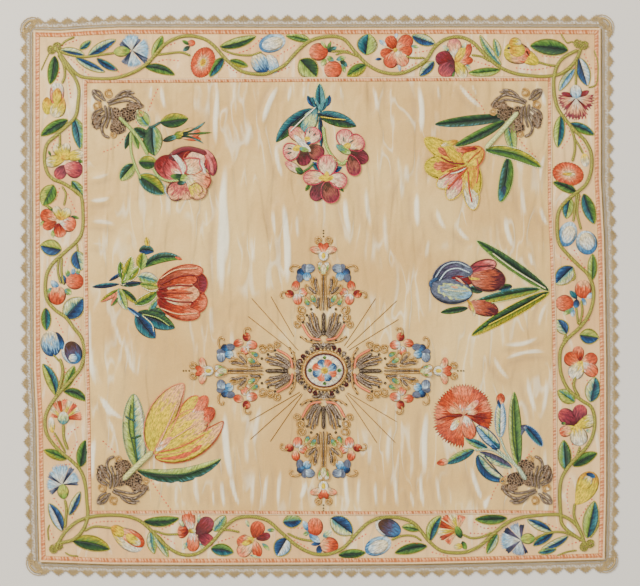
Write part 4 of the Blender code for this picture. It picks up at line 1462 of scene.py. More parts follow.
# %% Sprig petals
SPRIG_PETAL_COLUMNS = "u v tip_u tip_v width shade blunt widest bend line"
SPRIG_PETALS = tables(SPRIG_PETAL_COLUMNS, """
rose
181 134 201 132.5 11 apricot 0.6
181 137 201 139 6 flame 0.6
176 134.5 205.5 121.5 3.6 bottle 0.7 0.4 3
177 135 212 132.5 3.2 pine 0.7 0.4
176 137 203.5 143.5 3.6 bottle 0.7 0.4 -3
163 141 178 136 6 bottle 0.6
174 136.5 184 134 8 moss 0.6
161 168 213 170 15 garnet 0.5 0.5 -14
203 150 212.5 176 12 rosy 0.5 0.5 -3
184 178 159 158 26 crimson 0.5 0.56 -2 blood
181 177 166 169 11 shell 0.6 0.5 2
183 180 169 197 19 dusty 0.5 0.55 -2 wine
186 181 184 200 20 dusty 0.5 0.6
183 172 200 152 24 petal_cream 0.5 0.6 2 brick
186 177 211 183 22 blush 0.5 0.6
187 175 203 198 21 honey_pink 0.5 0.6 0 bark
199 156 206 174 6 ivory 0.6 0.5 1
171 153.5 183.5 176 6 ivory 0.7 0.4 -4
187 178 170 176 8 pine 0.7
177 184 186 182 6 bottle 0.7
179.5 178 188 178.5 9 lime
pansies
316 108 304 132 17 jade_pale 0.5 0.6
300 149 283.5 154 18 pansy 0.5 0.6 0 magenta
306 144 289 128 15 pansy_pink 0.5 0.6 1
306.5 143 318 129.5 17 pansy 0.5 0.6 0 magenta
309 146 322 157.5 17 mauve 0.5 0.6
301 151 306 165.5 15 deep_maroon 0.5 0.55
292 132 313 153 7 ivory 0.7 0.5 1
292 150 302 147 7 yellow 0.6
304 139 311 138.5 5.5 yellow 0.6
306 144 311 142.5 3.6 navy 0.6
298 148 310 150.5 6 jade 0.7
302 173 285 162 9 pansy 0.6
303 173.5 291 165.5 7 fern 0.7 0.4
346.5 148 343 129.5 17 pansy 0.5 0.6 0 magenta
348 148 363 139 18 pansy_pink 0.5 0.6 0 magenta
349 151 368 161 15 deep_maroon 0.5 0.55
350 155 356 175.5 14 mauve 0.5 0.6 0 magenta
343 147 351.5 145 8 yellow 0.6
336 145 351 154 8 jade 0.7
324 181 313 200.5 16 deep_maroon 0.5 0.55
325.5 182 334 202.5 18 mauve 0.5 0.55 0 magenta
327 177 303.5 178 15 pansy_pink 0.5 0.62 0 magenta
328 177 346.5 183 16 pansy 0.5 0.62 0 magenta
327 177 327.5 155 20 pansy 0.5 0.6 0 magenta
316 178 336 178 8 yellow 0.6
326.5 182 327 170 6 yellow 0.6
lily
505 186 499.5 201.5 7 teal 0.7 0.4
467 163 424.5 165 26 sun 0.5 0.5 -3 straw
467 162 428 165 21 foxed 0.5 0.55 -3
467 164 424.5 138.5 18 sun 0.6 0.55 -1 yellow
467 164 428 141.5 13 foxed 0.6 0.55 -1
466 167 437 187 16 lily_pink 0.6 0.6 0 yellow
466 168 448 199.5 16 lily_pink 0.6 0.6 0 yellow
467 168 473.5 210 16 butter 0.6 0.6 0 yellow
470 158 474 196.5 19 sun 0.5 0.55 0 straw
482 148 463 168 20 sun 0.5 0.5 0 coral
480 149 454 150.5 7 scarlet 0.6
466 165 445 140.5 9 sun 0.6 0.4 -3 straw
458 141 441 146 6 honey 0.6
476 165 471 192 6 gold 0.7 0.6
anemone
175 257 182 259.5 3.4 coral 0.7
188 282 207 287 24 garnet 0.5 0.5 0 brick
188 300 207 304 22 scarlet 0.5 0.5 0 brick
158 286 203 271 15 foxed 0.42 0.55 -5 brick
158 299 200 314 17 scarlet 0.42 0.55 4 brick
158 287 199 281 14 ember 0.42 0.55 -3 rust
157 293 200 294 31 streak 0.42 0.6 0 rust
161 292 194 287 8 blush 0.6 0.6 -3
161 296 194 301 9 blush 0.6 0.6 3
iris
496 263 469 271 14 rosy 0.5 0.5 0 wine
498 313 468 306 17 russet 0.5 0.5 2
467 300 474 316.5 4.5 honey 0.6 0.5 -2
505 281 470 277 25 russet 0.5 0.5 0 wine
469 278.5 487 279.5 3.6 yellow 0.7 0.3
472 283 448 275 11 blood 0.6
465 285 452 275.5 5 peach 0.7 0.5 1
472 273 434 284 19 dusk 0.5 0.5 8 slate
472 294 430.5 286 28 slate 0.5 0.55 0 ink
472 294 433 287 24.5 pale 0.5 0.55
472 294.5 435 287.5 21 mist_blue 0.5 0.55
448 286.5 460 288 5 peach 0.6
tulip
176 426 198 396 15 sun 0.6 0.6 0 coral
188 422 207 396 13 coral_rim 0.6 0.6 0 coral
196 428 213.5 408 14 flame 0.6 0.6 0 brick
155 457 223.5 421 21 tulip 0.75 0.45 9 brick
157 458 216 428 8 coral 0.75 0.45 10
152 452 184 383.5 29 tulip 0.72 0.46 -6 salmon
154 454 206 412 33 tulip 0.55 0.62 2 salmon
158 440 176 398 9 yellow 0.7 0.5 -4
171 438 199 416 10 yellow 0.7
176 446 213 429 6 sun 0.7 0.5 2
156 451 173 436 8 shell 0.6
carnation
500 405 501 393 9 flame 0.6
448 461 436.5 463.5 7 flame 0.6 0.4
498 398 500 409 4 navy 0.7
463 412 446 406 12 apricot 0.6 0.6 -2
462 417 450 431 10 butter 0.6 0.6
463.5 413 462 399 9 coral_rim 0.6 0.6
465 412 478.5 400 8 shell 0.6 0.6
466 414 478 411 7 blush 0.6 0.6
465 415 471 439 15 coral_rim 0.55 0.6
""", blunt=0.5, widest=0.5, bend=0, line="none")
SPRIG_FANS = tables(FAN_COLUMNS, """
carnation
464 415 34 90 160 flame 66 0.14
464 415 32 158 204 scarlet 66 0.14
464 415 31 -160 -116 flame 66 0.12
464 415 32 -119 -70 salmon_red 66 0.12
464 415 31 -74 -34 flame 66 0.12
464 415 30 -38 -6 scarlet 66 0.14
464 415 30 -10 34 crimson_edge 66 0.12
""", squash=1, tilt=0)
print("sprig petals:", sum(len(rows) for rows in SPRIG_PETALS.values()))

# %% Sprig stems and loose stitches
SPRIG_STEMS = groups("""
rose
3.8 lime 119 117 130 128 140 140 148 155
2.8 lime 131 132 131 150 135 165 141 179
2.6 bottle 148 128 154 126 161 122
2 lime 154 129 158 138
3 lime 153 168 158 176 168 181 180 180
5.4 garnet 171 155 181 150 190 149 199 151 207 154
4.6 rosy 206 155 211 163 212.5 174
1.9 blood 188 176 193 170 201 166
1.7 rose 183 159 192 158 200 159
1.6 rose 184 160 187 168 185 174
1.6 rose 200 158 200 164 203 171
1.6 blood 166 161 163 168 166 177
1.4 rust 205 176 211 180 208 188
1.4 plum 166 184 165.5 192 170 198
1.2 rose 172 184 175 190 171 196
1.3 bark 190 186 197 183 203 190 198 196
pansies
3.4 lime 323 126 326 145 333 157 342 164 348 159
1.3 ivory 316 107 301 121 290 132
2.2 fern 301 173 309 168 314 163
1.2 straw 320 117 335 119 346 120
1.2 bottle 292 149 287 148
1.2 bottle 292 152 287 154
1.2 bottle 309 134 310 130
1.2 bottle 313 136 316 133
1.2 bottle 327 170 327 162
1.2 bottle 323 170 322 163
1.2 bottle 331 170 332 163
1.2 bottle 344 142 343 136
1.2 bottle 349 143 354 140
1.2 bottle 315 178 308 177
1.2 bottle 336 179 342 181
lily
5 pale 518 112 505 127 485 149
1.4 bark 514 119 503 131 488 147
1.6 brick 468 167 458 177 447 190
1.6 brick 468 171 469 188 472 203
1.4 coral 477 158 478 172 476 184
1.2 brick 466 170 453 183 447 186
1.4 ivory 466 168 458 172 450 174
1.6 blood 465 164 452 163 440 157
1.3 ember 480 151 473 157 467 163
1.2 ember 467 166 452 172 438 180
anemone
1.6 blood 159 289 176 285.5 193 286
1.4 peach 160 279 176 270 198 268
1.4 peach 160 308 178 314 198 313
1.3 rust 161 293 178 293 194 293
1.6 blood 159 297 176 301.5 193 302
1.2 blood 160 285 178 277 196 275
1.2 cream 142 287 150 291 157 291
1.1 cream 142 315 152 324 154 332
1.1 lime 142 314 158 318 170 326
iris
1.5 steel 470 268 457 262.5 444 266 435 278
1.3 ice 470 273 458 268.5 447 271 439 281
1.2 cream 469 291 455 291 442 289
1.4 cream 546 289 515 270 492 253
1.3 straw 545 294 515 311 488 325
1.2 wine 494 265 483 266 472 267
3.6 navy 438 278 431 282 431 288
tulip
6 stem_cream 123 480 138 465 153 451
2.2 pine 131 438 137 437 142 435
2 bottle 125 416 130 419 136 421
1.3 pine 138 466 133 445 129 425 131 404
2 pine 139 471 160 474 184 474 204 468
1.3 peach 157 449 168 425 178 402
1.2 coral 159 452 180 447 205 434
1.2 peach 158 447 175 437 200 421
carnation
2.4 mist 500 437 506 452 518 468
2.2 mist 474 450 492 450 508 461
2.4 mist 497 449 507 458 520 470
4.6 mist 526 480 517 466
1.4 pine 517 460 513 440 512 415 513 398
1.2 ink 484 455 492 465 502 476
1.4 blood 462 416 448 416 436 420
1.3 blood 467 415 478 416 488 418
""")
SPRIG_DASHES = groups("""
rose
158 89 153 99 148 112
125 136 117 146 101 153
136 122 140 128
pansies
lily
468 92 480 104 487 118
515 133 526 148 537 158
anemone
iris
tulip
103 441 116 453
149 477 160 494 174 514
carnation
534 448 522 463
508 473 496 487 490 501
""")
print("sprig stems:", sum(len(rows) for rows in SPRIG_STEMS.values()))

# %% [markdown]
# The four corner sprigs grow from scrolls of metal purl, a springy tube of
# wound wire, with mounds of small coils and gold curls between. All four are
# one scroll, turned over for each corner, so its rows hold distances inwards
# from its hub.

# %% Metal scrolls
SCROLL_HUBS = {"rose": (105, 102, 1, 1), "lily": (529, 101, -1, 1), "tulip": (110, 492, 1, -1),
               "carnation": (539, 492, -1, -1)}
SCROLL_BARS = (
    (3.4, (1, -1), (-6, -6), (-13, -12)), (2.6, (-1, -3), (-5, -10), (-12, -12)),
    (2.6, (-3, 0), (-10, -4), (-13, -11)), (3.4, (2, 1), (13, -4), (24, -6), (33, -1), (37, 6)),
    (3.0, (3, 3), (14, 0), (24, -1), (32, 3)), (3.0, (10, -4), (18, -10), (27, -11)),
    (2.6, (14, -3), (22, -8), (30, -9)), (3.4, (0, 3), (1, 15), (-3, 26), (-1, 33), (5, 36)),
    (2.8, (4, 4), (4, 16), (1, 27)), (3.0, (-1, 8), (-8, 14), (-10, 22)),
    (2.8, (0, 12), (-6, 20), (-9, 28)), (2.4, (-2, 6), (-11, 11), (-13, 19)),
    (3.0, (6, 5), (8, 14), (7, 22)),
)
SCROLL_MOUNDS = ((23, 12.5, 8, 6), (11, 15, 4, 8), (13, 26, 7, 5), (30, 4, 7, 2.4), (-8, 19, 3.5, 7))
SCROLL_GOLD = ((4, -8, 4.6, 30, 1.8), (-8, 4, 4.6, 200, -1.8), (36, 11, 3.4, 0, 1.4), (9, 33, 3.4, 90, 1.4))


def purl(bundle, path, width, shade="wire", lift=0.0):
    """A tube of wound wire: a cord whose width ripples with every few windings."""
    cord(bundle, smooth_path(path, step=0.5), width, shade, lift=lift, ridges=1.5, ridge_depth=0.24)


def sequin(bundle, u, v, radius, shade="sequin", lift=0.3):
    """A tiny dished disc with a hole in the middle."""
    fan(bundle, (u, v), radius, 0, 360, shade, pad=0.35, lift=lift, inner=0.35 * radius, steps=4)


def foot_scroll(bundle, u, v, turn_u, turn_v):
    """The scroll at a sprig's foot, turned over by two signs."""
    def at(points):
        return [(u + turn_u * du, v + turn_v * dv) for du, dv in points]

    for width, *points in SCROLL_BARS:
        purl(bundle, at(points), width)
    for du, dv, reach_u, reach_v in SCROLL_MOUNDS:
        middle = at([(du, dv)])[0]
        # A dark disc under each mound of coils is painted shade, so that the gaps between the coils read
        # dark.
        fan(bundle, middle, reach_u + 2, 0, 360, "soot_and_shade", squash=(reach_v + 2) / (reach_u + 2), pad=0.5,
            steps=5)
        for share, many in ((0.0, 1), (0.5, 6), (1.0, 11)):
            for angle in np.linspace(0, 2 * np.pi, many, endpoint=False) + share:
                place = (du + share * reach_u * math.cos(angle), dv + share * reach_v * math.sin(angle))
                spiral = curl(place, rng.uniform(1.6, 2.4), rng.uniform(0, 360), 1.0)
                cord(bundle, at(spiral), 1.25, "coil", lift=0.55, ridges=1.5, ridge_depth=0.2, sides=5)
    for du, dv, radius, start, turns in SCROLL_GOLD:
        cord(bundle, at(curl((du, dv), radius, start, turns)), 1.8, "gold_cord", ridges=1.2, ridge_depth=0.15)


# %% Metal finish
paint = Paint("metal_thread", Specular_IOR_Level=0.7)
grain = paint.noise(paint.thread_map(0.8, 0.8), 1.0, 4.0, 0.8)
strip = paint.noise(paint.thread_map(1.3, 0.3), 1.0, 3.0, 0.7)
winding = paint.make("ShaderNodeTexWave", dict(wave_type="BANDS", bands_direction="Y"),
                     {"Vector": paint.thread_map(1.0, 1.0), "Scale": 0.42, "Distortion": 0.4})
# Noise mixes each shade's three colours. For purl, coils and gold cord the dark heart colour is partly
# tarnish and partly painted shade in the hollows of the windings, and the pale tip is a painted glint. Below,
# each tube is lightened along its top and darkened at its sides, as painted light and shade.
light = winding * 0.16 + grain * 0.4 + strip * 0.6
wire = paint.mix(light.ramp(0.48, 0.58), paint.value("heart", "Color"), paint.value("body", "Color"))
wire = paint.mix(light.ramp(0.61, 0.69), wire, paint.value("tip", "Color"))
wire = paint.shade(wire, paint.value("rim").ramp(0.4, 1.0, 1.25, 0.4))
relief = paint.bump(winding + grain * 0.6, 0.0003, 0.9)
metal_finish = paint.finish(Base_Color=wire, Roughness=grain.ramp(0.3, 0.7, 0.26, 0.44),
                            Metallic=grain.ramp(0.3, 0.7, 0.25, 0.55), Normal=relief)

# %% Lay the sprigs
def lay_rows(silks, cords, leaves, petals):
    """Leaves, then petals, each a little higher than the one before, with their outlines."""
    for number, row in enumerate(leaves):
        lift = 0.03 * number
        leaf(silks, row, lift=lift)
        if row["line"] != "none":
            cord(cords, outline(row), 0.9, row["line"], lift=lift, closed=True, sides=5)
    for number, row in enumerate(petals):
        lift = 0.35 + 0.045 * number
        petal(silks, (row["u"], row["v"]), (row["tip_u"], row["tip_v"]), row["width"], row["shade"],
              bend=row["bend"], widest=row["widest"], blunt=row["blunt"], lift=lift)
        if row["line"] != "none":
            cord(cords, outline(row, 0.0), 1.0, row["line"], lift=lift + 0.1, closed=True, sides=5)


SPRIG_BLUNT = {"lily": 0.55, "tulip": 0.62, "iris": 0.62, "carnation": 0.62}
for name in SPRIG_LEAVES:
    silks, cords = Bundle(), Bundle()
    leaves = [dict(row, blunt=SPRIG_BLUNT.get(name, 0.75)) for row in SPRIG_LEAVES[name]]
    for row in SPRIG_FANS.get(name, ()):
        fan(silks, (row["u"], row["v"]), row["radius"], row["start"], row["end"], row["shade"],
            teeth=row["teeth"], depth=row["depth"], lift=0.3)
    lay_rows(silks, cords, leaves, SPRIG_PETALS[name])
    lay_dashes(silks, SPRIG_DASHES[name])
    for width, shade, *points in SPRIG_STEMS[name]:
        lift = 0.0 if width > 1.7 else 1.3
        cord(cords, smooth_path(pairs(points), step=1.4), width, shade, lift=lift)
    node = "sprig_" + name
    if name in SCROLL_HUBS:
        wires = Bundle()
        foot_scroll(wires, *SCROLL_HUBS[name])
        finish_piece(wires.mesh("scroll_" + name), metal_finish, "metal_thread", node)
    finish_piece(silks.mesh("silk_" + name), silk_finish, "silk_coral", node)
    finish_piece(cords.mesh("cords_" + name), cord_finish, "silk_coral", node)

# %% [markdown]
# ## The cross
#
# Four equal arms of metal purl and silk flowers stand round a medallion. One
# arm is written once, as distances along it from the centre and across it.
# Rows marked 1 in the pair column are laid on both sides of its middle, and
# the whole arm is laid four times, turned by a quarter each time.

# %% One arm of the cross
CROSS = (323.5, 370.8)
QUARTERS = {"top": 0, "right": 1, "bottom": 2, "left": 3}
ARM_COLUMNS = "along across tip_along tip_across width shade line bend pair"
ARM_SILK = tables(ARM_COLUMNS, """
arm
65 15 73.5 17.5 5.6 jade gold_cord
68 8 76 12.5 5.6 jade gold_cord
80 29 90 26.5 8.5 flame
76 24 81 16.5 9 coral_rim
77 27 66 25 9.5 coral_rim
81 34 73 34 9 scarlet
80 32 75 32 4.5 blood
98.5 18 107 19.5 7 slate
101.5 20 103 8.5 9.5 steel
98.5 17 90 16 9 sky
101.5 25.5 95.5 20.5 7.5 navy
98 24 88.5 23.5 7.5 slate
96 0 108.5 5 8 cream gold_cord -1
98.5 2 107 4.8 3.8 jade
116 0 128 3.5 7 flame
118 1.5 121.5 13.5 7.5 blush none -1
110 0 120 0 10.5 ivory none 0 0
110.8 0 119.2 0 8 yellow none 0 0
""", line="none", bend=0, pair=1)["arm"]
ARM_PURL = (
    (4.6, (35, 0), (46, 0), (58.5, 0)), (3.8, (32, 5), (38, 11), (49, 17.5)),
    (3.4, (33, 4), (42, 11), (56, 14.5)), (3.0, (34, 3), (44, 8), (59, 11.5)),
    (3.4, (35, 2), (44, 5.6), (55, 7.5)), (3.4, (79, 6.2), (86, 8), (93, 7.4)),
    (3.4, (77, 7), (81, 12), (84.5, 15.5)), (2.8, (63, 5), (69, 5.5), (74, 4.5)),
)
ARM_GOLD = (
    (2.0, "salmon", (31, 2), (32.5, 11), (37, 16), (47, 21.5)),
    (1.4, "gold_cord", (35, 23), (30, 17), (28.5, 9), (28, 0)),
    (1.3, "gold_cord", (60, 3.4), (75, 2.2), (97, 1.6)), (1.2, "gold_cord", (109, 0.6), (112, 0.6)),
    (1.2, "gold_cord", (75, 5), (84, 5.6), (94, 9.5), (88, 10.5), (78, 8.5), (86, 17), (80, 17.5), (75, 7)),
    (1.2, "gold_cord", (64, 6), (69, 13), (76, 20), (78, 24)),
    (1.2, "gold_cord", (84, 11), (92, 14), (97, 17)), (1.3, "gold_cord", (34, 3.2), (46, 10), (58, 13.4)),
    (1.2, "gold_cord", (35, 2), (46, 6.4), (58, 9.4)),
    (1.4, "gold_cord", (77.5, 35), (79, 38), (78, 42), (74, 42.5), (73, 39.5)),
    (1.4, "gold_cord", (103, 22), (105, 27), (104.5, 32), (101, 33.5), (99.5, 30)),
)
ARM_CURLS = (
    (60.8, 21.5, 4.6, 200, -1.5), (53.2, 22.4, 4.2, 180, -1.4), (46.2, 26, 3.6, 120, -1.3),
    (130.5, 5, 3.6, 0, 1.5),
)
ARM_SEQUINS = ((61.6, 12.3), (63.5, 6.4), (55.5, 16.5), (48.5, 20.5), (31.5, 18), (30, 12.5), (33.8, 22.4))
ARM_DOTS = (134.3, 137.4, 140)


def arm_place(points, quarter, side=1):
    """Sheet points of places along and across one arm; side -1 is its mirrored half."""
    spots = []
    for along, across in points:
        right, down = side * across, -along
        for _ in range(quarter):
            right, down = -down, right
        spots.append((CROSS[0] + right, CROSS[1] + down))
    return spots


def lay_arm(silks, metals, quarter):
    """One arm of the cross, both halves."""
    for side in (1, -1):
        for number, row in enumerate(ARM_SILK):
            if side < 0 and not row["pair"]:
                continue
            ends = (row["along"], row["across"]), (row["tip_along"], row["tip_across"])
            base, tip = arm_place(ends, quarter, side)
            lift = 0.35 + 0.05 * number
            petal(silks, base, tip, row["width"], row["shade"], bend=side * row["bend"], blunt=0.5, lift=lift)
            if row["line"] != "none":
                ring = dict(row, u=base[0], v=base[1], tip_u=tip[0], tip_v=tip[1],
                            bend=side * row["bend"], blunt=0.5)
                cord(metals, outline(ring, 0.1), 1.0, row["line"], lift=lift + 0.3, closed=True, sides=5)
        for width, *points in ARM_PURL:
            purl(metals, arm_place(points, quarter, side), width, lift=0.1)
        for width, shade, *points in ARM_GOLD:
            cord(metals, smooth_path(arm_place(points, quarter, side), step=1.0), 1.35 * width, shade,
                 lift=0.5)
        for along, across, radius, start, turns in ARM_CURLS:
            spiral = curl((along, across), radius, start, turns)
            cord(metals, arm_place(spiral, quarter, side), 1.9, "gold_cord", lift=0.4)
        for place in ARM_SEQUINS:
            sequin(metals, *arm_place([place], quarter, side)[0], 1.35, shade="soot_and_shade", lift=0.8)
    purl(metals, arm_place(((60, 0), (75, 0), (98, 0)), quarter), 1.6, lift=0.3)
    for along in ARM_DOTS:
        sequin(metals, *arm_place([(along, 0)], quarter)[0], 0.9, shade="soot_and_shade", lift=0.3)


for side, quarter in QUARTERS.items():
    silks, metals = Bundle(), Bundle()
    lay_arm(silks, metals, quarter)
    finish_piece(silks.mesh("cross_silk_" + side), silk_finish, "metal_thread", "cross_arm_" + side)
    finish_piece(metals.mesh("cross_metal_" + side), metal_finish, "metal_thread", "cross_arm_" + side)

# %% [markdown]
# The medallion in the middle is an oval of cream silk in a rim of gold cord.
# Here it holds a rosette of eight petals, blue and coral by turns, with four
# small leaves. Round the rim lie purl leaves, sequins and dark red knots, and
# twelve fine rays of gold thread run out between the arms.

# %% Medallion and rays
MEDALLION = (324.6, 370.4)
FIELD, RIM = (19.2, 16.6), (20.9, 18.4)
RAYS = (
    (296, 353.6, 247.6, 316), (299, 351.2, 251.2, 297.9), (294.2, 337.3, 270.6, 296),
    (344, 346.4, 376, 297.9), (346.4, 348.2, 397.3, 300.3), (348.2, 350.6, 399, 319),
    (300.3, 391.8, 248.8, 421.5), (302, 393, 250, 439.7), (302.7, 394, 270, 442),
    (347, 392.4, 397.3, 422), (346.5, 393, 396, 443.3), (345, 394, 377.3, 443.3),
)


def oval(across, down, count=60, start=0.0):
    """Points round an ellipse about the medallion's middle."""
    angle = np.radians(start) + np.linspace(0, 2 * np.pi, count, endpoint=False)
    return np.column_stack([MEDALLION[0] + across * np.cos(angle), MEDALLION[1] + down * np.sin(angle)])


silks = Bundle()
fan(silks, MEDALLION, FIELD[0], 0, 360, "cream", squash=FIELD[1] / FIELD[0], pad=0.9, lift=0.5)
for number, tip in enumerate(oval(13.0, 11.6, 8, 22.5)):
    petal(silks, MEDALLION, tip, 9.4, "plum" if number % 2 else "coral_rim", blunt=0.55, widest=0.66,
          lift=1.1 + 0.03 * number)
for place, tip in zip(oval(12.4, 11.2, 4, 0), oval(17.0, 14.6, 4, 0)):
    petal(silks, place, tip, 4.0, "fern", lift=1.2)
fan(silks, MEDALLION, 3.6, 0, 360, "sun", pad=0.9, lift=1.7, steps=6)
finish_piece(silks.mesh("medallion_oval"), silk_finish, "medallion_silk", "medallion")

metals = Bundle()
cord(metals, oval(*RIM, 180), 3.2, "gold_cord", lift=0.5, closed=True, sides=8, ridges=2.2, ridge_depth=0.1)
cord(metals, oval(19.1, 16.5, 120), 1.3, "wine", lift=1.3, closed=True)
cord(metals, oval(22.7, 20.2, 120), 1.0, "gold_cord", lift=0.3, closed=True)
for number, (u, v) in enumerate(oval(26.4, 24.4, 28, 9)):
    shade = "wine" if number % 7 in (1, 2, 5) else "wire"
    cord(metals, curl((u, v), 2.3, 40 * number, 1.3), 1.5, shade, lift=0.3, ridges=1.4, ridge_depth=0.2)
    sequin(metals, u, v, 1.3, shade="soot_and_shade" if number % 3 else "sequin", lift=0.9)
for number, (u, v) in enumerate(oval(24.0, 21.8, 40, 4)):
    sequin(metals, u, v, 1.15, shade="soot_and_shade" if number % 3 else "wire_dye", lift=0.5)
for side, quarter in QUARTERS.items():
    for half in (1, -1):
        purl(metals, arm_place(((23, 3), (26, 7), (25, 12)), quarter, half), 3.2, lift=0.1)
        purl(metals, arm_place(((24, 1.5), (27.5, 4), (29.5, 8.5)), quarter, half), 2.6, lift=0.2)
    sequin(metals, *arm_place([(26.6, 0)], quarter)[0], 2.1, lift=1.2)
finish_piece(metals.mesh("medallion_rim"), metal_finish, "metal_thread", "medallion_bead_ring")

metals = Bundle()
for u1, v1, u2, v2 in RAYS:
    share = np.linspace(0, 1, 40)[:, None]
    cord(metals, (1 - share) * (u1, v1) + share * (u2, v2), 0.7, "old_gold", height=0.5, sides=5)
finish_piece(metals.mesh("gold_rays"), metal_finish, "metal_thread")

# %% [markdown]
# ## Lace and braids
#
# The lace is bobbin lace of gilt thread. One repeat has a net of small holes
# at the foot, a larger hole split by a thin plait, nested arches of woven
# thread for the scallop's pointed head, and seven small loops, the picots,
# round its rim. Real lace is one thread mesh. Here a repeat is drawn once as
# a list of cords in its own small plane, s along the edge and d outwards, and
# laid down again and again along the cloth.

# %% One repeat of the lace
LACE_PITCH = 14.65
LACE_START = -3.5
LACE_LIFT = 0.05
ARCHES = ((3.6, 4.8, 8.4, 0.8), (4.5, 6.0, 9.7, 1.0), (5.4, 6.9, 11.0, 1.0), (6.2, 7.6, 12.2, 1.0))
NET = ((4.2, 4.2, 7.3, 7.6), (7.3, 4.2, 4.8, 6.9), (6.0, 7.7, 7.4, 8.2), (0.3, 4.2, 0.0, 8.4))
PICOTS = (-6.1, -4.4, -2.3, 0.0, 2.3, 4.4, 6.1)
PICOT_ARCH = (6.2, 7.6, 12.1)
PICOT_REACH = 1.2
PICOT_RADIUS = 0.6
FOOT_BARS = ((0.3, 1.3), (1.4, 0.9), (4.2, 0.7))
CORNER_ARCS = ((4.0, 0.9), (7.2, 1.0), (11.4, 2.6), (14.2, 0.9))


def arch_depth(s, half, low, top):
    """Depth of an arch at s: top in the middle and low at half, falling as |s / half| to the power 1.4."""
    return top - (top - low) * np.abs(s / half) ** 1.4


REPEAT = []
for half, low, top, width in ARCHES:
    s = np.linspace(-half, half, 9)
    REPEAT.append((np.column_stack([s, arch_depth(s, half, low, top)]), width))
thirds = np.linspace(0, 1, 4)[:, None]
for s1, d1, s2, d2 in NET:
    for sign in (1, -1):
        REPEAT.append(((1 - thirds) * (sign * s1, d1) + thirds * (sign * s2, d2), 0.6))
picot_spots = [(s, arch_depth(s, *PICOT_ARCH) + PICOT_REACH) for s in PICOTS]


def edge_length(side):
    """Straight length of one edge of the cloth, in mm."""
    return math.dist(EDGES[side][0], EDGES[side][-1])


def outward(side):
    """Unit vectors along an edge and out from it, on the sheet."""
    (u1, v1), (u2, v2) = EDGES[side][0], EDGES[side][-1]
    along = np.array([u2 - u1, v2 - v1]) / edge_length(side)
    return along, np.array([along[1], -along[0]])


def lace_place(side, reach, depth):
    """Sheet places at a reach along an edge and a depth outside it, also past the edge's ends."""
    along, out = outward(side)
    length = edge_length(side)
    edge = along_rows(EDGES[side], np.clip(reach / length, 0, 1))
    past = np.clip(reach, None, 0) + np.clip(reach - length, 0, None)
    return edge + past[..., None] * along + depth[..., None] * out


print("cords in a repeat:", len(REPEAT) + len(PICOTS))

# %% [markdown]
# Cords that run the whole side come first: the foot's two bars, the bar that
# carries the scallops, and two crossed zigzags that make the small holes.
# Then come the repeats, and at each corner a gathered lobe.

# %% Lace of four sides
def lay_lace(bundle, side):
    """All cords of one side's lace."""
    length = edge_length(side)
    span = length - 2 * LACE_START
    count = round(span / LACE_PITCH)
    pitch = span / count
    reach = np.arange(-0.6, length + 0.6, 1.5)
    for depth, width in FOOT_BARS:
        wave = depth + 0.12 * np.sin(reach * 2.1 + depth)
        cord(bundle, lace_place(side, reach, wave), width, "gilt", 0.62, LACE_LIFT, sides=4, on_cloth=False)
    zig = np.arange(-0.6, length + 0.6, 1.6)
    for phase in (0, 1):
        low = np.where((np.arange(len(zig)) + phase) % 2 == 0, 1.7, 4.2)
        cord(bundle, lace_place(side, zig, low), 0.5, "gilt", 0.5, LACE_LIFT + 0.1 * phase, sides=4,
             on_cloth=False)
    for number in range(count):
        middle = LACE_START + (number + 0.5) * pitch
        drawn = rng.normal(1.0, 0.03, 2)
        for path, width in REPEAT:
            line = lace_place(side, middle + path[:, 0] * drawn[0], path[:, 1] * (0.97 + 0.03 * drawn[1]))
            cord(bundle, line, width, "gilt", 0.6, LACE_LIFT, sides=4, on_cloth=False)
        ring = np.radians(np.arange(0, 360, 72))
        for s, d in picot_spots:
            loop = np.column_stack([s + PICOT_RADIUS * np.cos(ring), d + PICOT_RADIUS * np.sin(ring)])
            line = lace_place(side, middle + loop[:, 0] * drawn[0], loop[:, 1])
            cord(bundle, line, 0.6, "gilt", 0.5, LACE_LIFT + 0.1, sides=4, closed=True, on_cloth=False)


def lay_corner(bundle, side):
    """The gathered lobe at the start corner of a side: a fan of cords from the cloth's corner."""
    along, out = outward(side)
    start = np.array(EDGES[side][0], float)
    diagonal = (out - along) / math.sqrt(2)
    across = (out + along) / math.sqrt(2)
    for turn in np.radians(np.linspace(-52, 52, 9)):
        ray = math.cos(turn) * diagonal + math.sin(turn) * across
        far = 14.2 - 1.2 * abs(turn)
        steps = np.array([1.0, 5.0, 9.0, far])
        cord(bundle, start + steps[:, None] * ray, 0.8, "gilt", 0.6, LACE_LIFT, sides=4, on_cloth=False)
    for radius, width in CORNER_ARCS:
        turn = np.radians(np.linspace(-58, 58, 17))
        wave = radius - 0.9 * turn ** 2 + 0.25 * np.cos(turn * 20)
        line = start + (wave * np.cos(turn))[:, None] * diagonal + (wave * np.sin(turn))[:, None] * across
        cord(bundle, line, width, "gilt", 0.6, LACE_LIFT, sides=5, on_cloth=False)


lace_pieces = {}
for side in SIDES:
    bundle = Bundle()
    lay_lace(bundle, side)
    lay_corner(bundle, side)
    lace_pieces[side] = bundle.mesh("gilt_lace_" + side)
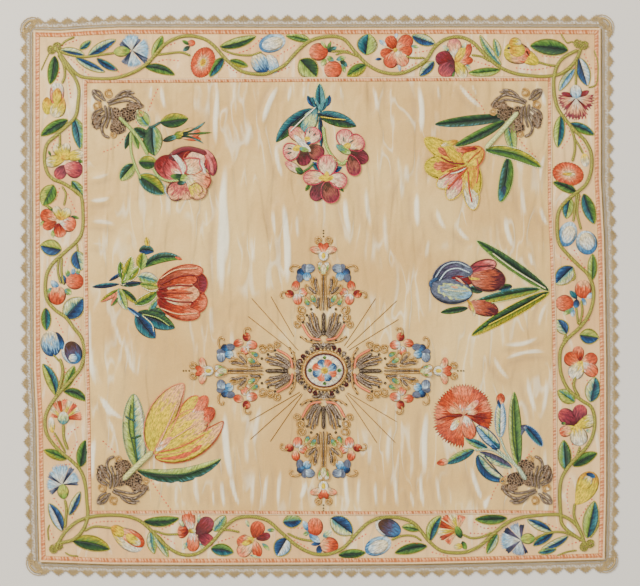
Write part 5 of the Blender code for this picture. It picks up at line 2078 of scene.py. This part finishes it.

# %% [markdown]
# Gilt thread is silk wound with flattened metal strip. Old lace of it is pale
# gold where it catches light and brown where soot and tarnish settle, between
# the threads. Here noise mixes brown, pale gold and near-white: the brown is
# tarnish together with painted shade in the recesses, and the near-white is a
# painted glint. The sides of each cord and the grooves of its twist are
# darkened as painted shade. The finish is half metallic, and a fine twist
# makes it glint.

# %% Gilt lace finish
paint = Paint("gilt_lace", Specular_IOR_Level=0.6)
place = paint.place()
wound = paint.make("ShaderNodeTexWave", dict(wave_type="BANDS", bands_direction="DIAGONAL"),
                   {"Vector": paint.thread_map(1.0, 1.0), "Scale": 0.9, "Distortion": 1.2})
grain = paint.noise(paint.thread_map(1.6, 1.6), 1.0, 3.0, 0.7)
aged = paint.noise(place, 60.0, 3.0, 0.6)
# Brown stands for tarnish together with painted shade in the recesses, near-white is a painted glint, and the
# twist's grooves and each cord's sides are darkened as painted shade.
gilt = paint.mix(grain.ramp(0.36, 0.56), paint_colour(140, 106, 60), paint_colour(232, 208, 158))
gilt = paint.mix(grain.ramp(0.56, 0.74, 0.0, 0.9), gilt, paint_colour(255, 246, 216))
gilt = paint.shade(gilt, aged.ramp(0.3, 0.7, 0.84, 1.08) * wound.ramp(0.0, 0.7, 0.7, 1.08)
                   * paint.value("rim").ramp(0.3, 1.0, 1.08, 0.5))
relief = paint.bump(wound + grain, 0.00018, 0.8)
lace_finish = paint.finish(Base_Color=gilt, Roughness=grain.ramp(0.2, 0.8, 0.34, 0.55),
                           Metallic=grain.ramp(0.3, 0.8, 0.1, 0.4), Normal=relief)
for side, piece in lace_pieces.items():
    finish_piece(piece, lace_finish, "metal_lace", "lace_" + side)

# %% [markdown]
# Two woven braids frame the flower border. The outer one covers the cloth's
# edge: a cream selvage outside, a thin rust line, and a twisted peach row
# inside. The inner one is narrower, a row of peach lozenges in reddish brown
# with the same pale outer edge. A braid is a ribbon: a height profile across
# it, carried along its middle line, with the plait's lobes as waves along it.

# %% Braid ribbons
OUTER_BRAID = dict(width=6.6, inset=2.6, plait=3.3)
INNER_BRAID = dict(width=4.8, plait=3.0)
INNER_BRAID_LINES = {
    "top": ((85, 81), (190, 80.5), (320, 79.5), (450, 79), (550, 79)),
    "right": ((550, 79), (550, 200), (552.5, 260), (554.5, 330), (555, 400), (555.5, 513)),
    "bottom": ((555.5, 513), (480, 512), (380, 513.5), (270, 513), (180, 512.5), (89.5, 513)),
    "left": ((89.5, 513), (88.5, 430), (86.5, 330), (85.5, 250), (85, 160), (85, 81)),
}
BRAID_TOP = 0.85


def outer_line(side):
    """Middle line of the outer braid: the cloth's edge set in, shortened at both corners."""
    along, out = outward(side)
    rows = np.array(EDGES[side], float) - OUTER_BRAID["inset"] * out
    rows[0] += OUTER_BRAID["inset"] * along
    rows[-1] -= OUTER_BRAID["inset"] * along
    return rows


def ribbon(bundle, rows, side, width, plait, strands):
    """A braid along a line with mitred ends: lobes lean to and fro as in a plait.

    Height is an arch across each strand, times a wave along whose phase leans with the place across.
    """
    along, out = outward(side)
    length = np.hypot(*np.diff(rows, axis=0).T).sum()
    count = int(length / 0.75)
    across = np.linspace(-1, 1, 8 * strands + 1)
    share, across = np.meshgrid(np.linspace(0, 1, count), across, indexing="ij")
    line = along_rows(rows, share.ravel()).reshape(*share.shape, 2)
    reach = share * length
    mitre = np.clip(1 - reach / width, 0, 1) - np.clip(1 - (length - reach) / width, 0, 1)
    half = width / 2
    at = line + (across * half)[..., None] * out + (-across * half * mitre)[..., None] * along
    strand = (across + 1) / 2 * strands
    inside = strand - np.floor(np.clip(strand, 0, strands - 1e-6))
    lean = np.where(np.floor(strand) % 2 == 0, 1.0, -1.0)
    wander = 0.35 * np.sin(0.77 * reach + 2 * np.sin(0.31 * reach)) + 0.2 * np.sin(1.9 * reach + strand)
    lobe = 0.5 + 0.5 * np.cos(2 * np.pi * (reach / plait + lean * (inside - 0.5) * 0.4 + wander * 0.6))
    arch = np.sin(np.pi * np.clip(inside, 0.03, 0.97)) ** 0.6
    edge_in = np.clip((1 - np.abs(across)) / 0.12, 0, 1) ** 0.5
    relief = 0.45 + 0.55 * arch * (0.35 + 0.65 * lobe)
    height = cloth_lift(at[..., 0], at[..., 1]) + 0.02 + BRAID_TOP * edge_in * relief
    thread = np.stack([across * half, reach], axis=-1)
    bundle.add(spot(at[..., 0], at[..., 1], height)[:, ::-1], thread=thread[:, ::-1],
               lobe=(lobe * arch)[:, ::-1], across=across[:, ::-1])


braid_pieces = {}
for side in SIDES:
    bundle = Bundle()
    ribbon(bundle, outer_line(side), side, OUTER_BRAID["width"], OUTER_BRAID["plait"], 2)
    braid_pieces["outer_braid_" + side] = bundle.mesh("outer_ribbon_" + side)
    bundle = Bundle()
    inner_line = np.array(INNER_BRAID_LINES[side], float)
    ribbon(bundle, inner_line, side, INNER_BRAID["width"], INNER_BRAID["plait"], 1)
    braid_pieces["inner_braid_" + side] = bundle.mesh("inner_ribbon_" + side)

# %% [markdown]
# Both braids are silk with a little gilt. The lobes keep the light dye and
# the hollows between them the dark one, so the plait reads even where it is
# flat: the dark hollows are partly the braid's darker dye and partly painted
# shade, and the lobes' tops get a painted glint. The layer `across` runs from
# -1 at the inner edge to 1 at the outer one, and paints the selvage, the rust
# line and the dark rims.

# %% Braid finishes
def braid_finish(name, hollow, light, glint, edge_colour, edge_from):
    """A braid's material: a dark and a light colour by its lobes, the dark partly painted shade, a painted
    glint on the lobes, a pale outer selvage, a rust line beside it, dark edges.
    """
    paint = Paint(name, Roughness=0.5, Sheen_Weight=0.15)
    weave = paint.noise(paint.thread_map(0.9, 0.9), 1.0, 4.0, 0.75)
    lobe = paint.value("lobe") + (weave - 0.5) * 0.5
    # The hollow colour is partly dye and partly painted shade; the glint is a painted highlight on the lobes.
    colour = paint.mix(lobe.ramp(0.14, 0.42), paint_colour(*hollow), paint_colour(*light))
    colour = paint.mix(lobe.ramp(0.62, 0.95, 0.0, 0.8), colour, paint_colour(*glint))
    across = paint.value("across")
    colour = paint.mix(across.ramp(0.28, 0.4, 0.0, 0.85), colour, paint_colour(240, 216, 176))
    line = (across - 0.26).math("ABSOLUTE").ramp(0.05, 0.13, 1.0, 0.0) * weave.ramp(0.4, 0.56)
    colour = paint.mix(line * 0.8, colour, paint_colour(170, 104, 62))
    edge = across.math("ABSOLUTE") + (weave - 0.5) * 0.16
    colour = paint.mix(edge.ramp(edge_from, edge_from + 0.12), colour, paint_colour(*edge_colour))
    colour = paint.shade(colour, weave.ramp(0.3, 0.7, 0.74, 1.16))
    twill = paint.make("ShaderNodeTexWave", dict(wave_type="BANDS", bands_direction="DIAGONAL"),
                       {"Vector": paint.thread_map(1.0, 1.0), "Scale": 0.75, "Distortion": 0.6})
    relief = paint.bump(twill + weave, 0.0002, 0.7)
    return paint.finish(Base_Color=colour, Roughness=weave.ramp(0.2, 0.8, 0.42, 0.6), Normal=relief)


outer_finish = braid_finish("outer_braid", hollow=(196, 128, 84), light=(236, 180, 138),
                            glint=(246, 214, 176), edge_colour=(190, 152, 96), edge_from=0.84)
inner_finish = braid_finish("inner_braid", hollow=(186, 122, 80), light=(236, 182, 140),
                            glint=(248, 216, 178), edge_colour=(176, 126, 80), edge_from=0.80)
for node, piece in braid_pieces.items():
    finish_piece(piece, outer_finish if node.startswith("outer") else inner_finish, "braid", node)

# %% [markdown]
# ## Studio, cut sizes and the end
#
# The veil lies on a plain pale table under soft studio light. A large light
# from the upper left rakes over the satin and shows its folds, a weaker one
# fills the shadows, and a pale world keeps the dark silks readable.

# %% Table and lights
table_mesh = bpy.data.meshes.new("table_top")
table_corners = [(-3, -3, -0.0005), (3, -3, -0.0005), (3, 3, -0.0005), (-3, 3, -0.0005)]
table_mesh.from_pydata(table_corners, [], [(0, 1, 2, 3)])
table_top = bpy.data.objects.new("table_top", table_mesh)
bpy.context.scene.collection.objects.link(table_top)
paint = Paint("table_top", Roughness=0.8)
tone = paint.noise(paint.place(), 3.0, 2.0)
table_mesh.materials.append(paint.finish(Base_Color=paint.mix(tone, paint_colour(226, 222, 214),
                                                              paint_colour(232, 228, 221))))

LIGHTS = (
    ("key", (-1.5, 1.5, 1.7), 1.1, 98.0, (1.0, 0.955, 0.87)),
    ("fill", (1.7, -1.0, 2.0), 1.8, 24.0, (0.97, 0.98, 1.0)),
)
for name, place, size, power, colour in LIGHTS:
    lamp = bpy.data.lights.new(name, "AREA")
    lamp.size, lamp.energy, lamp.color = size, power, colour
    light = bpy.data.objects.new(name, lamp)
    x, y, z = place
    reach = math.hypot(x, y)
    light.location = place
    light.rotation_euler = (math.atan2(reach, z), 0, math.atan2(-x, y) + math.pi)
    bpy.context.scene.collection.objects.link(light)

world = bpy.data.worlds.new("studio")
bpy.context.scene.world = world
world.use_nodes = True
world.node_tree.nodes["Background"].inputs["Color"].default_value = (1.0, 0.97, 0.92, 1)
world.node_tree.nodes["Background"].inputs["Strength"].default_value = 0.78

# %% [markdown]
# The lace strips' straight sizes, width and depth in metres, are listed for
# each side. The satin lies flat on the table, with the braids sewn on it, and
# the lace strips were made straight and sewn round its edge.

# %% Cut sizes
FLAT_LACE = {"top": (0.600, 0.014), "right": (0.564, 0.014), "bottom": (0.598, 0.014), "left": (0.566, 0.014)}
list(braid_pieces.values())
for side, (width, depth) in FLAT_LACE.items():
    0.9 * width * depth
